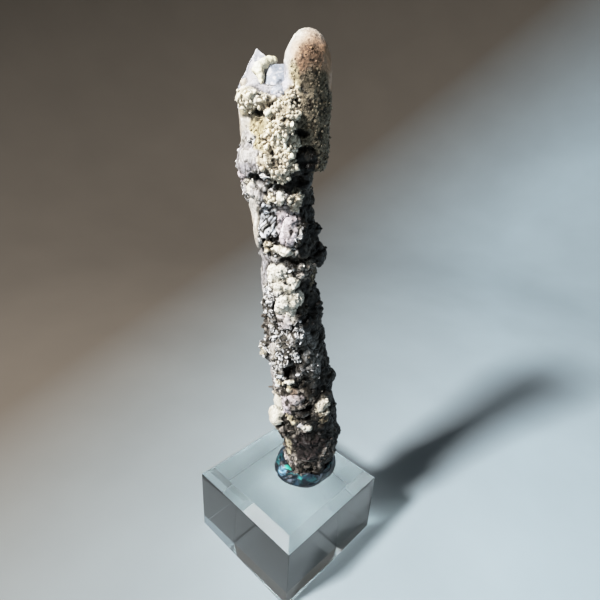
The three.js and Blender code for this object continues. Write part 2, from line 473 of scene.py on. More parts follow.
class Crust(Enum):
    """The kinds of crust on the column."""

    CHALK = CrustLook(
        (0.49, 0.475, 0.45), (0.43, 0.385, 0.33), 2.6, 0.05, crack=0.0, grit=0.03, shine=0.25
    )
    BARE = CrustLook(
        (0.36, 0.365, 0.41), (0.46, 0.455, 0.47), 2.2, 0.10, facet=0.7, crack=0.0, grit=0.06,
        shine=0.5,
    )
    PEACH = CrustLook(
        (0.42, 0.25, 0.15), (0.50, 0.35, 0.26), 1.8, 0.06, crack=0.0, grit=0.1, shine=0.3
    )
    RUST = CrustLook(
        (0.12, 0.073, 0.044), (0.25, 0.155, 0.10), 0.9, 0.16, crack=0.35, soot=0.12, grit=0.7,
        shine=0.35, grain=0.4, crowd=0.3, glow=1.5,
    )
    LAVENDER = CrustLook(
        (0.36, 0.35, 0.37), (0.46, 0.445, 0.425), 1.4, 0.2, clump=0.3, facet=0.6, crack=0.5,
        gap=0.12, grit=0.35, shine=0.4,
    )
    CREAM = CrustLook(
        (0.75, 0.685, 0.565), (0.67, 0.58, 0.45), 1.2, 0.28, clump=0.55, crack=0.42, gap=0.16,
        pits=0.3, grit=0.3, shine=0.3, ground=0.92, grain=0.78, crowd=1.2, glow=1.14,
    )
    SUGAR = CrustLook(
        (0.70, 0.64, 0.535), (0.59, 0.515, 0.41), 1.0, 0.26, clump=0.55, crack=0.42, gap=0.16,
        pits=0.3, grit=0.22, shine=0.35, ground=0.75, grain=0.72, crowd=1.1, glow=1.12,
    )
    WHITE = CrustLook(
        (0.78, 0.75, 0.68), (0.70, 0.655, 0.56), 0.95, 0.15, clump=0.15, facet=0.4, crack=0.4,
        gap=0.16, grit=0.3, shine=0.4, grain=0.5, crowd=0.15,
    )
    TAN = CrustLook(
        (0.47, 0.40, 0.27), (0.64, 0.58, 0.45), 1.5, 0.22, clump=0.4, facet=0.3, crack=0.25,
        grit=0.35, shine=0.25, grain=0.5, crowd=0.35,
    )
    PINK = CrustLook(
        (0.46, 0.41, 0.44), (0.60, 0.56, 0.58), 1.7, 0.26, clump=0.3, facet=1.0, crack=0.45,
        gap=0.1, bend=0.3, soot=0.03, grit=0.3, shine=0.5, grain=0.5, crowd=0.08,
        habit=Habit.POINT,
    )
    SILVER = CrustLook(
        (0.67, 0.675, 0.69), (0.82, 0.825, 0.84), 1.05, 0.36, clump=1.0, facet=0.9, crack=0.97,
        gap=0.22, bend=1.3, soot=0.3, pits=1.2, grit=0.6, shine=0.6, grain=0.6, crowd=0.4,
        habit=Habit.PLATE, glow=1.15,
    )
    BRONZE = CrustLook(
        (0.09, 0.078, 0.068), (0.36, 0.33, 0.30), 1.4, 0.38, clump=1.1, facet=0.75, crack=0.9,
        gap=0.18, bend=0.7, soot=0.28, pits=1.2, grit=0.7, shine=0.55, grain=0.55, crowd=0.4,
        habit=Habit.PLATE, glow=1.5,
    )
    BLADED = CrustLook(
        (0.47, 0.495, 0.545), (0.66, 0.685, 0.72), 0.95, 0.34, facet=1.0, crack=1.0, gap=0.22,
        bend=0.7, soot=0.3, pits=0.5, grit=0.25, shine=0.7, grain=0.6, crowd=0.12,
        habit=Habit.PLATE, glow=1.2,
    )
    # Near-black: laid on the side away from the key light and into sunk pockets and undercuts,
    # partly the crust's own dark colour and partly painted shade; its paler loose grains are
    # painted glints.
    UMBER = CrustLook(
        (0.006, 0.0048, 0.0036), (0.040, 0.034, 0.027), 1.6, 0.24, clump=0.9, facet=0.5, crack=0.7,
        gap=0.12, soot=0.3, grit=0.5, shine=0.7, grain=0.44, crowd=0.08, glow=2.5,
    )
    OLIVE = CrustLook(
        (0.13, 0.105, 0.070), (0.27, 0.23, 0.165), 0.7, 0.2, crack=0.5, soot=0.22, grit=0.8,
        shine=0.5, grain=0.36, crowd=0.8, glow=1.1,
    )
    LAYERED = CrustLook(
        (0.010, 0.0075, 0.0075), (0.033, 0.025, 0.024), 1.3, 0.34, clump=0.8, facet=0.85,
        crack=0.9, gap=0.2, soot=0.25, grit=0.4, shine=0.6, grain=0.6, crowd=0.2,
        habit=Habit.PLATE, glow=2.4,
    )
    SHELL = CrustLook(
        (0.60, 0.59, 0.55), (0.56, 0.54, 0.49), 0.8, 0.10, facet=0.3, crack=0.25, grit=0.3,
        shine=0.3,
    )


@dataclass(frozen=True)
class Patch:
    """One patch of crust: an ellipsoid of influence, in the specimen's space.

    Attributes:
        crust: The kind of crust.
        place: Right, away and up.
        reach: Half its size along each of those.
        proud: How far its middle stands out of the skin, or sinks if it is negative.
        crease: How deep the crease round it is, and how dark it is painted, as painted shade, from
            0 to 1.
        border: How wide its border is, as a share of its reach.
        strength: How firmly it covers what lies under it.
    """

    crust: Crust
    place: Triple
    reach: Triple
    proud: float = 0.0
    crease: float = 0.0
    border: float = 0.2
    strength: float = 1.0


FINGER_PATCHES = (
    Patch(Crust.CHALK, (-6.8, -2.0, 118.5), (8.0, 9.0, 8.6)),
    Patch(Crust.CHALK, (-10.0, -1.5, 110.0), (2.8, 6.0, 8.0)),
    Patch(Crust.CHALK, (-5.0, 3.5, 114.0), (7.0, 5.0, 9.0)),
    Patch(Crust.PEACH, (-1.6, -3.4, 115.6), (3.0, 4.4, 4.0), border=0.7, strength=0.6),
    # A whiter cap on the finger's top: partly the tip's own white, partly painted light for a top
    # that tilts away from the key.
    Patch(Crust.SHELL, (-6.8, -2.4, 120.6), (4.6, 6.0, 2.4), border=0.8),
    Patch(Crust.PEACH, (-0.6, -1.6, 113.4), (2.8, 6.4, 6.6), border=0.7),
    Patch(Crust.PEACH, (-4.0, -6.4, 115.0), (3.9, 4.4, 6.2), border=0.9, strength=0.8),
    Patch(Crust.RUST, (-5.0, -7.0, 115.4), (2.4, 3.6, 3.2), border=0.7),
    Patch(Crust.RUST, (-5.4, -7.0, 112.0), (3.2, 3.4, 3.4), border=0.7),
    Patch(Crust.OLIVE, (-3.9, -7.6, 107.4), (4.6, 4.4, 6.6), border=0.4),
    Patch(Crust.OLIVE, (-1.4, -5.0, 100.0), (5.4, 8.0, 9.4), border=0.3),
    Patch(Crust.TAN, (-8.4, -6.0, 111.0), (1.6, 2.6, 3.4), 0.2, border=0.6, strength=0.9),
    Patch(Crust.CREAM, (-8.6, -6.4, 108.2), (1.8, 2.6, 2.2), 0.3),
)

# The sunk near-black patches here and below are painted shadow in pockets, under ledges and under
# lips.
HEAD_PATCHES = (
    Patch(Crust.BARE, (-16.6, 0.0, 112.6), (7.0, 7.5, 7.0)),
    Patch(Crust.BARE, (-11.6, 0.0, 111.0), (4.6, 7.5, 5.0)),
    Patch(Crust.CHALK, (-18.6, -2.0, 103.0), (3.2, 6.5, 6.5)),
    Patch(Crust.LAVENDER, (-18.6, -5.0, 95.6), (3.2, 5.0, 5.0), 0.3),
    Patch(Crust.TAN, (-18.4, -4.4, 106.4), (3.0, 4.6, 2.6), 0.4, 0.4),
    Patch(Crust.BARE, (-13.0, -5.2, 109.8), (4.2, 3.4, 2.1), -0.9),
    Patch(Crust.CHALK, (-19.6, -1.4, 110.4), (1.6, 2.4, 1.0), 0.7, 0.5),
    Patch(Crust.CREAM, (-12.4, -8.2, 105.9), (2.8, 3.2, 2.2), 0.5),
    Patch(Crust.WHITE, (-14.6, -7.2, 107.4), (3.0, 3.4, 1.9), 0.7, 0.3),
    Patch(Crust.WHITE, (-17.4, -5.2, 107.6), (4.4, 4.6, 2.1), 1.0, 0.5),
    Patch(Crust.CREAM, (-15.6, -6.2, 107.0), (3.4, 3.8, 1.8), border=0.6, strength=0.6),
    Patch(Crust.CREAM, (-9.8, -8.6, 104.6), (3.8, 3.4, 3.4), 0.7),
    Patch(Crust.CREAM, (-8.2, -7.2, 108.0), (2.2, 2.8, 2.2), 0.2),
    Patch(Crust.UMBER, (-16.0, -6.6, 104.5), (2.6, 2.4, 0.6), -0.8),
    Patch(Crust.TAN, (-14.9, -6.8, 102.2), (3.8, 4.0, 2.4), -0.5),
    Patch(Crust.CREAM, (-9.2, -9.2, 102.2), (1.8, 2.4, 1.5), 0.7, 0.6),
    Patch(Crust.TAN, (-13.8, -7.8, 98.8), (3.4, 3.0, 2.4), 0.3),
    Patch(Crust.CREAM, (-11.2, -8.2, 99.4), (3.4, 3.2, 2.4), 0.6, 0.4),
    Patch(Crust.UMBER, (-6.2, -8.2, 101.2), (2.4, 2.6, 1.1), -1.4),
    Patch(Crust.CREAM, (-7.4, -8.0, 99.0), (1.4, 2.6, 1.5), 0.6, 0.5),
    Patch(Crust.CREAM, (-9.2, -9.0, 97.2), (3.2, 3.2, 2.2), 0.4),
    Patch(Crust.LAVENDER, (-15.4, -7.4, 95.2), (2.4, 3.2, 2.2)),
    Patch(Crust.SUGAR, (-12.6, -9.0, 95.2), (2.4, 2.8, 1.9), 0.3, 0.3),
    Patch(Crust.SUGAR, (-8.8, -9.2, 94.8), (2.6, 3.0, 2.0), 0.3, 0.3),
    Patch(Crust.UMBER, (-4.4, -7.2, 95.6), (2.4, 4.0, 3.2), -0.3),
    Patch(Crust.UMBER, (-14.8, -7.4, 91.3), (3.0, 3.0, 1.7), -2.1),
    Patch(Crust.PINK, (-19.0, -2.0, 90.4), (1.8, 3.6, 1.6), 0.7, 0.5),
    Patch(Crust.UMBER, (-6.0, -7.0, 91.3), (3.0, 3.6, 2.2), -1.2),
    Patch(Crust.SUGAR, (-10.4, -9.4, 92.4), (2.2, 2.8, 2.6), 0.4, 0.5),
)

MIDDLE_PATCHES = (
    Patch(Crust.WHITE, (-17.0, -4.2, 88.4), (1.9, 3.2, 2.4), 0.5, 0.4),
    Patch(Crust.LAVENDER, (-14.6, -6.0, 86.6), (3.2, 3.6, 3.6), 0.2),
    Patch(Crust.LAVENDER, (-9.0, -8.0, 86.2), (4.6, 3.4, 3.2)),
    Patch(Crust.CHALK, (-16.6, -3.2, 79.0), (2.2, 5.4, 8.4)),
    Patch(Crust.LAVENDER, (-14.6, -2.6, 66.0), (2.2, 5.4, 7.4)),
    Patch(Crust.BLADED, (-12.4, -6.6, 81.2), (2.9, 3.4, 4.4), -0.3, 0.8),
    Patch(Crust.PINK, (-8.0, -8.0, 83.8), (2.8, 3.2, 3.4), 0.3),
    Patch(Crust.PINK, (-8.2, -8.0, 79.8), (2.3, 3.0, 5.2), 0.5, 0.4),
    Patch(Crust.CREAM, (-12.3, -7.4, 87.2), (1.5, 2.2, 1.3), 0.6, 0.5),
    Patch(Crust.WHITE, (-10.0, -8.4, 87.8), (1.2, 2.4, 2.8), 0.5, 0.5),
    Patch(Crust.UMBER, (-8.3, -8.2, 89.4), (1.0, 1.8, 0.9), -0.9),
    Patch(Crust.SUGAR, (-6.3, -7.4, 87.0), (2.4, 2.8, 2.5), 0.5, 0.5),
    Patch(Crust.CREAM, (-12.4, -6.0, 75.2), (1.8, 2.6, 1.7), 0.2),
    Patch(Crust.UMBER, (-6.2, -7.0, 72.3), (4.6, 3.6, 1.7), -1.6),
    Patch(Crust.WHITE, (-9.6, -7.4, 74.8), (4.0, 2.8, 1.5), 1.0, 0.4),
    Patch(Crust.LAVENDER, (-12.2, -5.8, 71.4), (2.6, 3.2, 2.0)),
    Patch(Crust.BRONZE, (-3.6, -5.6, 69.6), (2.6, 3.4, 2.6)),
    Patch(Crust.OLIVE, (-1.2, -2.4, 67.8), (0.9, 3.0, 3.2)),
    Patch(Crust.WHITE, (-10.0, -6.6, 67.6), (3.5, 3.4, 3.9), 1.2, 0.5),
    Patch(Crust.WHITE, (-6.6, -7.0, 66.2), (2.4, 3.0, 2.1), 0.8, 0.3),
    Patch(Crust.SILVER, (-11.6, -5.0, 59.0), (3.0, 4.6, 6.6), border=0.4),
    Patch(Crust.WHITE, (-7.8, -7.4, 60.2), (3.1, 3.2, 4.4), 1.0, 0.5),
    Patch(Crust.WHITE, (-4.9, -6.8, 62.8), (2.1, 3.0, 2.5), 0.8, 0.3),
    Patch(Crust.PINK, (-8.2, -7.4, 56.2), (2.2, 2.8, 2.4), 0.3, 0.3, strength=0.6),
    # Pale flecks on the dark side, as painted glints.
    Patch(Crust.BLADED, (-2.2, -7.0, 51.4), (2.0, 2.6, 2.2), strength=0.4),
)

LOWER_PATCHES = (
    Patch(Crust.SILVER, (-9.6, -6.6, 51.0), (2.6, 3.4, 2.8)),
    Patch(Crust.SILVER, (-13.4, -2.4, 45.2), (2.6, 3.2, 2.3), 1.0, 0.2),
    Patch(Crust.TAN, (-13.6, -2.6, 44.4), (1.6, 2.2, 1.2), strength=0.6),
    Patch(Crust.WHITE, (-7.8, -6.8, 46.8), (4.6, 3.6, 3.8), border=0.6, strength=0.35),
    Patch(Crust.SILVER, (-6.2, -7.3, 46.0), (3.6, 3.2, 2.8), 0.5, 0.4),
    Patch(Crust.SILVER, (-9.2, -5.6, 40.4), (2.8, 4.0, 4.4), 0.3),
    Patch(Crust.UMBER, (-5.9, -7.2, 41.2), (2.3, 2.4, 2.3), -1.4),
    Patch(Crust.SUGAR, (-8.2, -6.8, 37.6), (1.6, 2.4, 0.9), 0.6, 0.5),
    Patch(Crust.WHITE, (-6.0, -7.4, 38.2), (1.8, 2.4, 0.8), 0.7, 0.6),
    Patch(Crust.TAN, (-5.9, -7.6, 36.0), (1.1, 2.2, 1.5), 0.6, 0.3),
    Patch(Crust.PEACH, (-4.6, -7.8, 35.0), (1.2, 2.2, 1.5), 0.1, strength=0.6),
    Patch(Crust.BRONZE, (-8.8, -4.4, 21.8), (2.6, 3.8, 1.9), strength=0.8),
    Patch(Crust.SHELL, (-9.6, -2.8, 19.8), (2.2, 4.2, 2.6), -1.6),
    Patch(Crust.PINK, (-7.0, -7.2, 29.6), (2.2, 3.2, 3.6), 0.3),
    Patch(Crust.SHELL, (-10.1, -4.0, 26.8), (2.9, 4.6, 5.8), 1.0, 0.4),
    Patch(Crust.WHITE, (-10.2, -4.2, 27.8), (3.0, 4.8, 5.2), border=0.6, strength=0.6),
    Patch(Crust.PINK, (-3.6, -8.2, 33.0), (2.5, 2.6, 1.5), 0.7, 0.7, strength=0.7),
    # A faint pale crust over the dark lower right, as painted glints.
    Patch(Crust.SILVER, (0.4, -7.2, 44.0), (4.6, 3.4, 8.0), border=0.6, strength=0.3),
    Patch(Crust.UMBER, (-1.4, -8.6, 30.2), (3.6, 2.6, 1.3), -1.1),
    Patch(Crust.SUGAR, (3.9, -6.6, 30.0), (2.4, 2.8, 3.0), 0.9, 0.5, border=0.45, strength=0.9),
    Patch(Crust.WHITE, (3.3, -7.0, 30.8), (1.6, 2.4, 2.2), 0.5, 0.3, border=0.6, strength=0.7),
    Patch(Crust.WHITE, (4.2, -6.4, 34.6), (0.9, 1.8, 0.9), 0.8, 0.7),
    Patch(Crust.OLIVE, (4.2, -8.0, 26.6), (1.6, 2.4, 1.5), 0.2),
    Patch(Crust.UMBER, (-2.2, -7.8, 27.4), (3.4, 2.6, 1.5), -1.4),
    Patch(Crust.TAN, (-5.6, -7.0, 26.4), (1.3, 2.2, 1.2), 0.8, 0.4, strength=0.8),
    Patch(Crust.TAN, (-4.2, -7.5, 25.3), (1.7, 2.3, 0.9), 0.9, 0.3, strength=0.8),
    Patch(Crust.LAVENDER, (-2.4, -7.9, 24.2), (1.8, 2.3, 0.9), 0.9, 0.3),
    Patch(Crust.WHITE, (-0.6, -8.0, 23.4), (1.9, 2.3, 1.1), 0.9, 0.4),
    Patch(Crust.LAYERED, (1.4, -8.2, 15.2), (6.6, 6.0, 6.2)),
    Patch(Crust.TAN, (-5.6, -3.8, 14.4), (1.3, 3.6, 4.4), 0.3, 0.5, strength=0.7),
    Patch(Crust.PINK, (-5.0, -4.2, 8.0), (2.2, 4.0, 1.8), 0.2, strength=0.6),
    Patch(Crust.BRONZE, (5.6, -6.2, 14.6), (2.4, 3.6, 3.0), 0.2, strength=0.7),
    Patch(Crust.BRONZE, (1.4, -7.6, 9.4), (5.2, 4.0, 1.9), 0.3, strength=0.4),
)

ALL_PATCHES = FINGER_PATCHES + HEAD_PATCHES + MIDDLE_PATCHES + LOWER_PATCHES

# Crusts whose pebbles are drawn out along a grain: its direction and how many times longer.
GRAINS = {
    Crust.BLADED: ((0.55, 0.0, 0.83), 2.6),
    Crust.LAYERED: ((0.92, 0.2, -0.34), 3.0),
    Crust.LAVENDER: ((-0.05, 0.0, 1.0), 3.0),
}


# ---- Column ----

# Stretches of the angle round the column, in degrees, where a crust comes in and goes out.
CREAM_SIDE = ((70.0, 90.0), (160.0, 145.0))
# The side away from the key light, which takes near-black crust: partly its own dark colour, partly
# painted shade.
DARK_AND_SHADED_SIDE = ((-78.0, -66.0), (92.0, 74.0))
# Where a patch's rim starts and ends, in its reach.
PATCH_RIM = ((0.92, 1.06), (1.3, 1.12))


@dataclass
class CrustMap:
    """How much of each kind of crust covers each point.

    Attributes:
        weights: One row for each point and one column for each kind, each row summing to 1.
    """

    weights: Array

    @staticmethod
    def column_of(crust: Crust) -> int:
        """Returns the column that holds one kind's weights."""
        return list(Crust).index(crust)

    def of(self, crust: Crust) -> Array:
        """Returns one kind's weight at each point."""
        return self.weights[:, self.column_of(crust)]

    def cover(self, crust: Crust, amount: Array) -> None:
        """Lays one kind over whatever is there, by an amount from 0 to 1 at each point."""
        self.weights *= (1 - amount)[:, None]
        self.weights[:, self.column_of(crust)] += amount

    def blend(self, name: str) -> Array:
        """Returns a property of the looks, weighed by how much of each kind lies at each point."""
        return self.weights @ np.array([getattr(crust.value, name) for crust in Crust], float)


@dataclass
class Spots:
    """Where grains stand.

    Attributes:
        places: Their places, three to a row.
        normals: The skin's normals there.
        tints: The skin's colours there.
    """

    places: Array
    normals: Array
    tints: Array

    def only(self, chosen: Array) -> Self:
        """Returns the spots that are chosen."""
        return Spots(self.places[chosen], self.normals[chosen], self.tints[chosen])


@dataclass
class QuartzColumn:
    """The crystal column's skin, with its patches of crust and their relief.

    Attributes:
        space: The specimen's own space.
        voxel: The width of the skin's faces.
        soften: How many times the solid's flat faces are smoothed into each other.
        lumps: The size and the rise of the lumps that crust gathers in.
        swells: The size and the rise of the slow swells under those.
        bends: The size and the reach of the bends in every pattern.
        crease: How deep the deepest crease round a patch is.
        full_proud: How far a point stands out to count as wholly proud.
        pit_size: How wide the cells that hold pits are, in pebbles.
        pit_share: The share of those cells that hold none.
        centre_band: Half the height of skin that gives the column's middle.
        spacing: How near two grains may stand, in grain widths.
        seed: Picks every pattern of the skin.
        skin: The skin, once it is made.
        crusts: Which crusts cover it.
        away: How far each vertex is from each patch's middle, in that patch's reach.
        creases: How much painted shade the creases round patches lay on each vertex, from 0 to 1.
        colours: Each vertex's colour, with painted shade in its cracks, pits, creases and hollows.
        proud: How far each vertex stands out of the skin round it, from -1 to 1.
        centre_heights: Where the column's middle is measured.
    """

    space: SpecimenSpace
    voxel: float = 0.25
    soften: int = 14
    lumps: tuple[Pair, ...] = ((4.6, 2.0), (2.3, 0.95), (1.15, 0.4))
    swells: Pair = (4.0, 0.18)
    bends: Pair = (1.7, 0.6)
    crease: float = 0.45
    full_proud: float = 0.22
    pit_size: float = 2.5
    pit_share: float = 0.72
    centre_band: float = 2.5
    spacing: float = 0.55
    seed: int = 11
    skin: Object | None = None
    crusts: CrustMap | None = None
    away: dict[Patch, Array] = field(default_factory=dict)
    creases: Array | None = None
    colours: Array | None = None
    proud: Array | None = None
    centre_heights: Array = field(default_factory=lambda: np.arange(2.0, 124.0, 4.0))

    def build(self) -> Object:
        """Makes the column's skin from the frame's solid, and returns it in millimetres."""
        self.skin = self.copy_of_solid()
        renew_skin(self.skin, self.voxel, self.soften)
        self.measure_patches()
        self.raise_patches()
        places = vertices_of(self.skin)
        self.crusts = self.lay_crusts(places)
        height, tone = self.shape_crusts(places)
        places = places + normals_of(self.skin) * height[:, None]
        set_vertices(self.skin, places)
        self.proud = np.clip(heights_over_smoothed(self.skin) / self.full_proud, -1, 1)
        # Painted shade: the creases round patches, and the hollows of cracked crusts, are darkened.
        crack_shade = self.crusts.blend("crack")
        tone *= (1 - 0.85 * self.creases) * (1 - 0.9 * crack_shade * eased(self.proud, -0.1, -0.75))
        self.colours = self.tints(places) * self.warmed(tone)
        # Hollows of crusts with few cracks are lifted in the relief, so the finish paints less
        # shade in them.
        unshaded_hollow = np.minimum(self.proud, 0) * (1 - np.minimum(0.3 + crack_shade, 1))
        relief = self.proud - unshaded_hollow
        shine, grit = self.crusts.blend("shine"), self.crusts.blend("grit")
        write_crust(self.skin, self.colours, relief, shine, grit)
        shade_smooth(self.skin)
        return self.skin

    def warmed(self, tone: Array) -> Array:
        """Returns the tones, painted shade and all, as colours to multiply by, warmer as they
        darken.
        """
        return tone[:, None] * np.minimum(tone, 1.0)[:, None] ** (0.0, 0.05, 0.15)

    def cut_in_two(self, height: float) -> tuple[Object, Object]:
        """Parts the finished skin at a height, and closes both parts where they meet.

        Args:
            height: Where it is parted, in millimetres above the block.

        Returns:
            The lower part, which is the skin itself, and the upper part.
        """
        upper = object_of("quartz_head", self.skin.data.copy())
        self.skin.name = "quartz_stem"
        for part, side in ((self.skin, 1), (upper, -1)):
            cut = bmesh.new()
            cut.from_mesh(part.data)
            far = [face for face in cut.faces if side * (face.calc_center_median().z - height) > 0]
            bmesh.ops.delete(cut, geom=far, context="FACES")
            rim = [edge for edge in cut.edges if edge.is_boundary]
            closed = bmesh.ops.holes_fill(cut, edges=rim, sides=0)
            for face in closed["faces"]:
                face.smooth = False
            bmesh.ops.triangulate(cut, faces=closed["faces"])
            cut.to_mesh(part.data)
            cut.free()
        return self.skin, upper

    def copy_of_solid(self) -> Object:
        """Copies the frame's crystal, with the vertices of neighbouring faces joined."""
        made = copy_of_node("quartz_crystal", "quartz_column", self.space)
        welded = bmesh.new()
        welded.from_mesh(made.data)
        bmesh.ops.remove_doubles(welded, verts=welded.verts, dist=1e-4)
        welded.to_mesh(made.data)
        welded.free()
        return made

    def measure_patches(self) -> None:
        """Measures how far each point is from each patch's middle, in that patch's reach."""
        places = vertices_of(self.skin)
        ragged = 0.38 * rough_noise(places, 2.6, self.seed + 4)
        self.away = {
            patch: np.linalg.norm((places - patch.place) / patch.reach, axis=1) + ragged
            for patch in ALL_PATCHES
        }

    def raise_patches(self) -> None:
        """Raises or sinks the skin by each patch's own amount, and creases it round some."""
        places = vertices_of(self.skin)
        normals = normals_of(self.skin)
        lift = np.zeros(len(places))
        for patch, away in self.away.items():
            lift += patch.proud * eased(away, 1.0, 0.4)
            lift -= self.crease * patch.crease * within(away, *PATCH_RIM)
        set_vertices(self.skin, places + normals * lift[:, None])

    def angle_round(self, places: Array) -> Array:
        """Returns each point's side of the column in degrees: 0 right, 90 behind, -90 in front."""
        own = vertices_of(self.skin)
        centres = []
        for height in self.centre_heights:
            band = own[np.abs(own[:, 2] - height) < self.centre_band]
            middle = (band.max(0) + band.min(0)) / 2 if len(band) else centres[-1]
            centres.append(middle)
        middles = np.array(centres)
        right = places[:, 0] - np.interp(places[:, 2], self.centre_heights, middles[:, 0])
        away = places[:, 1] - np.interp(places[:, 2], self.centre_heights, middles[:, 1])
        return np.degrees(np.arctan2(away, right))

    def lay_crusts(self, places: Array) -> CrustMap:
        """Decides which crust covers each point: first by its side, then patch by patch.

        Args:
            places: The skin's points, in the specimen's space.

        Returns:
            The crusts' weights at those points.
        """
        crusts = CrustMap(np.zeros((len(places), len(Crust))))
        crusts.weights[:, CrustMap.column_of(Crust.SILVER)] = 1.0
        angle = self.angle_round(places)
        blotch = rough_noise(places, 6.0, self.seed + 6)
        crusts.cover(Crust.BRONZE, eased(places[:, 2] + 14 * blotch, 62, 50))
        rear = within(angle, *CREAM_SIDE)
        crusts.cover(Crust.CREAM, eased(rough_noise(places, 7.0, self.seed + 2), 0.1, 0.25) * rear)
        islands = eased(rough_noise(places, 9.0, self.seed + 1), 0.2, 0.35)
        crusts.cover(Crust.LAVENDER, islands * eased(np.abs(angle), 110, 140))
        # The side away from the key light takes the near-black crust, partly as painted shade.
        ragged = angle + 26 * rough_noise(places, 5.0, self.seed + 3)
        crusts.cover(Crust.UMBER, within(ragged, *DARK_AND_SHADED_SIDE))
        self.creases = np.zeros(len(places))
        for patch, away in self.away.items():
            covered = patch.strength * eased(away, 1 + patch.border / 2, 1 - patch.border / 2)
            crusts.cover(patch.crust, covered)
            # The crease round a patch is kept as painted shade.
            crease = patch.crease * within(away, *PATCH_RIM)
            self.creases = np.maximum(self.creases * (1 - covered), crease)
        return crusts

    def shape_crusts(self, places: Array) -> tuple[Array, Array]:
        """Works out every crust's lumps, pebbles, cracks and pits, with painted shade in creases,
        cracks and pits.

        Args:
            places: The skin's points, in the specimen's space.

        Returns:
            How far each point moves along its normal, in millimetres, and the tone that its colour
            is multiplied by.
        """
        bent = self.bends[1] * swirl(places, self.bends[0], self.seed + 5)
        height = self.swells[1] * rough_noise(places, self.swells[0], self.seed + 9)
        gathered = self.crusts.blend("clump")
        crease = np.zeros(len(places))
        for number, (size, rise) in enumerate(self.lumps):
            swell = np.abs(smooth_noise(places + bent, size, self.seed + 12 + number))
            height += rise * gathered * (np.sqrt(swell + 0.01) - 0.55)
            # Painted shade along the creases between lumps.
            crease += gathered * eased(swell, 0.13, 0.0) / (1 + 0.4 * number)
        tone = np.zeros(len(places))
        patchy = np.clip(1.1 + 1.6 * smooth_noise(places, 1.5, self.seed + 18), 0.15, 2.6)
        for number, crust in enumerate(Crust):
            weight = self.crusts.of(crust)
            here = weight > 0.01
            tone[~here] += weight[~here]
            if not here.any():
                continue
            drawn = self.drawn_out(places[here] + crust.value.bend * bent[here], crust)
            bump, shade = self.pebbled(drawn, crust.value, 10 * number, patchy[here])
            height[here] += weight[here] * bump
            tone[here] += weight[here] * shade
        return height, tone * (1 - 0.82 * np.clip(crease, 0, 1))

    def pebbled(
        self, places: Array, look: CrustLook, variant: int, patchy: Array
    ) -> tuple[Array, Array]:
        """Works out one crust's pebbles, cracks and pits, with painted shade in the cracks and
        pits.

        Args:
            places: Places to read, bent and drawn out as the crust is.
            look: The crust's look.
            variant: Keeps its pattern apart from the other crusts'.
            patchy: How much wider the cracks are at each place.

        Returns:
            How far each place stands out, in millimetres, and its tone, painted shade included.
        """
        cells = Pebbles.at(places, look.pebble, self.seed + 20 + variant)
        round_top = cells.dome() * (0.45 + 0.75 * cells.tag) - 0.45
        flat_top = 1.5 * cells.slope + 0.9 * (cells.tag - 0.5)
        split = eased(cells.gap, look.gap * patchy, 0.0)
        bump = look.relief * (round_top * (1 - look.facet) + flat_top * look.facet - 0.5 * split)
        pits = Pebbles.at(places, self.pit_size * look.pebble, self.seed + 200 + variant)
        pit = (pits.tag > self.pit_share) * eased(pits.near, 0.5, 0.2)
        sooty = 0.88 * eased(cells.second_tag, look.soot + 0.06, look.soot - 0.02) * (look.soot > 0)
        # Painted shade: the cracks, and the pits below, darken the tone.
        tone = look.ground * (1 - sooty) * (1 - look.crack * split) * (0.8 + 0.4 * cells.tag)
        return bump - look.pits * pit, tone * (1 - 0.85 * pit * min(look.pits, 1.0))

    def drawn_out(self, places: Array, crust: Crust) -> Array:
        """Presses space along a crust's grain, so that its pebbles come out long that way."""
        grain, stretch = GRAINS.get(crust, ((0.0, 0.0, 1.0), 1.0))
        along = np.array(grain) / np.linalg.norm(grain)
        return places - (1 - 1 / stretch) * (places @ along)[:, None] * along

    def tints(self, places: Array) -> Array:
        """Returns each point's colour, which wanders between its crust's two colours."""
        wander = eased(rough_noise(places, 3.2, self.seed + 90), -0.45, 0.45)[:, None]
        return self.crusts.blend("tint") * (1 - wander) + self.crusts.blend("second") * wander

    def strew(self, kind: Crust, random: np.random.Generator) -> Spots:
        """Strews spots over the skin where one kind of crust lies.

        Args:
            kind: The crust that the spots belong to.
            random: The source of chance.

        Returns:
            The spots, no two nearer than most of a grain's width.
        """
        mesh = self.skin.data
        mesh.calc_loop_triangles()
        corners = np.empty(len(mesh.loop_triangles) * 3, np.int32)
        mesh.loop_triangles.foreach_get("vertices", corners)
        corners = corners.reshape(-1, 3)
        places = vertices_of(self.skin)
        normals = normals_of(self.skin)
        edges = places[corners[:, 1:]] - places[corners[:, :1]]
        areas = 0.5 * np.linalg.norm(np.cross(edges[:, 0], edges[:, 1]), axis=1)
        thick = self.crusts.of(kind) * eased(self.proud, -0.5, 0.3)
        share = areas * thick[corners].mean(1) * kind.value.crowd
        chosen = random.choice(len(corners), size=int(share.sum() * 2), p=share / share.sum())
        mix = random.dirichlet((1, 1, 1), len(chosen))
        spots = np.einsum("nk,nkc->nc", mix, places[corners[chosen]])
        kept = self.thin_out(spots, self.spacing * kind.value.grain)
        facing = np.einsum("nk,nkc->nc", mix, normals[corners[chosen]])
        facing /= np.linalg.norm(facing, axis=1)[:, None]
        tints = np.einsum("nk,nkc->nc", mix, self.colours[corners[chosen]])
        return Spots(spots, facing, tints).only(kept)

    def thin_out(self, spots: Array, apart: float) -> Array:
        """Returns the numbers of those spots that keep their distance from all kept before them."""
        kept = []
        cells: dict[tuple[int, int, int], list[int]] = {}
        for number, spot in enumerate(spots):
            cell = tuple(np.floor(spot / apart).astype(int))
            crowded = False
            for step in itertools.product((-1, 0, 1), repeat=3):
                beside = (cell[0] + step[0], cell[1] + step[1], cell[2] + step[2])
                for other in cells.get(beside, ()):
                    crowded = crowded or math.dist(spots[other], spot) < apart
            if not crowded:
                cells.setdefault(cell, []).append(number)
                kept.append(number)
        return np.array(kept, int)


# ---- Grains ----


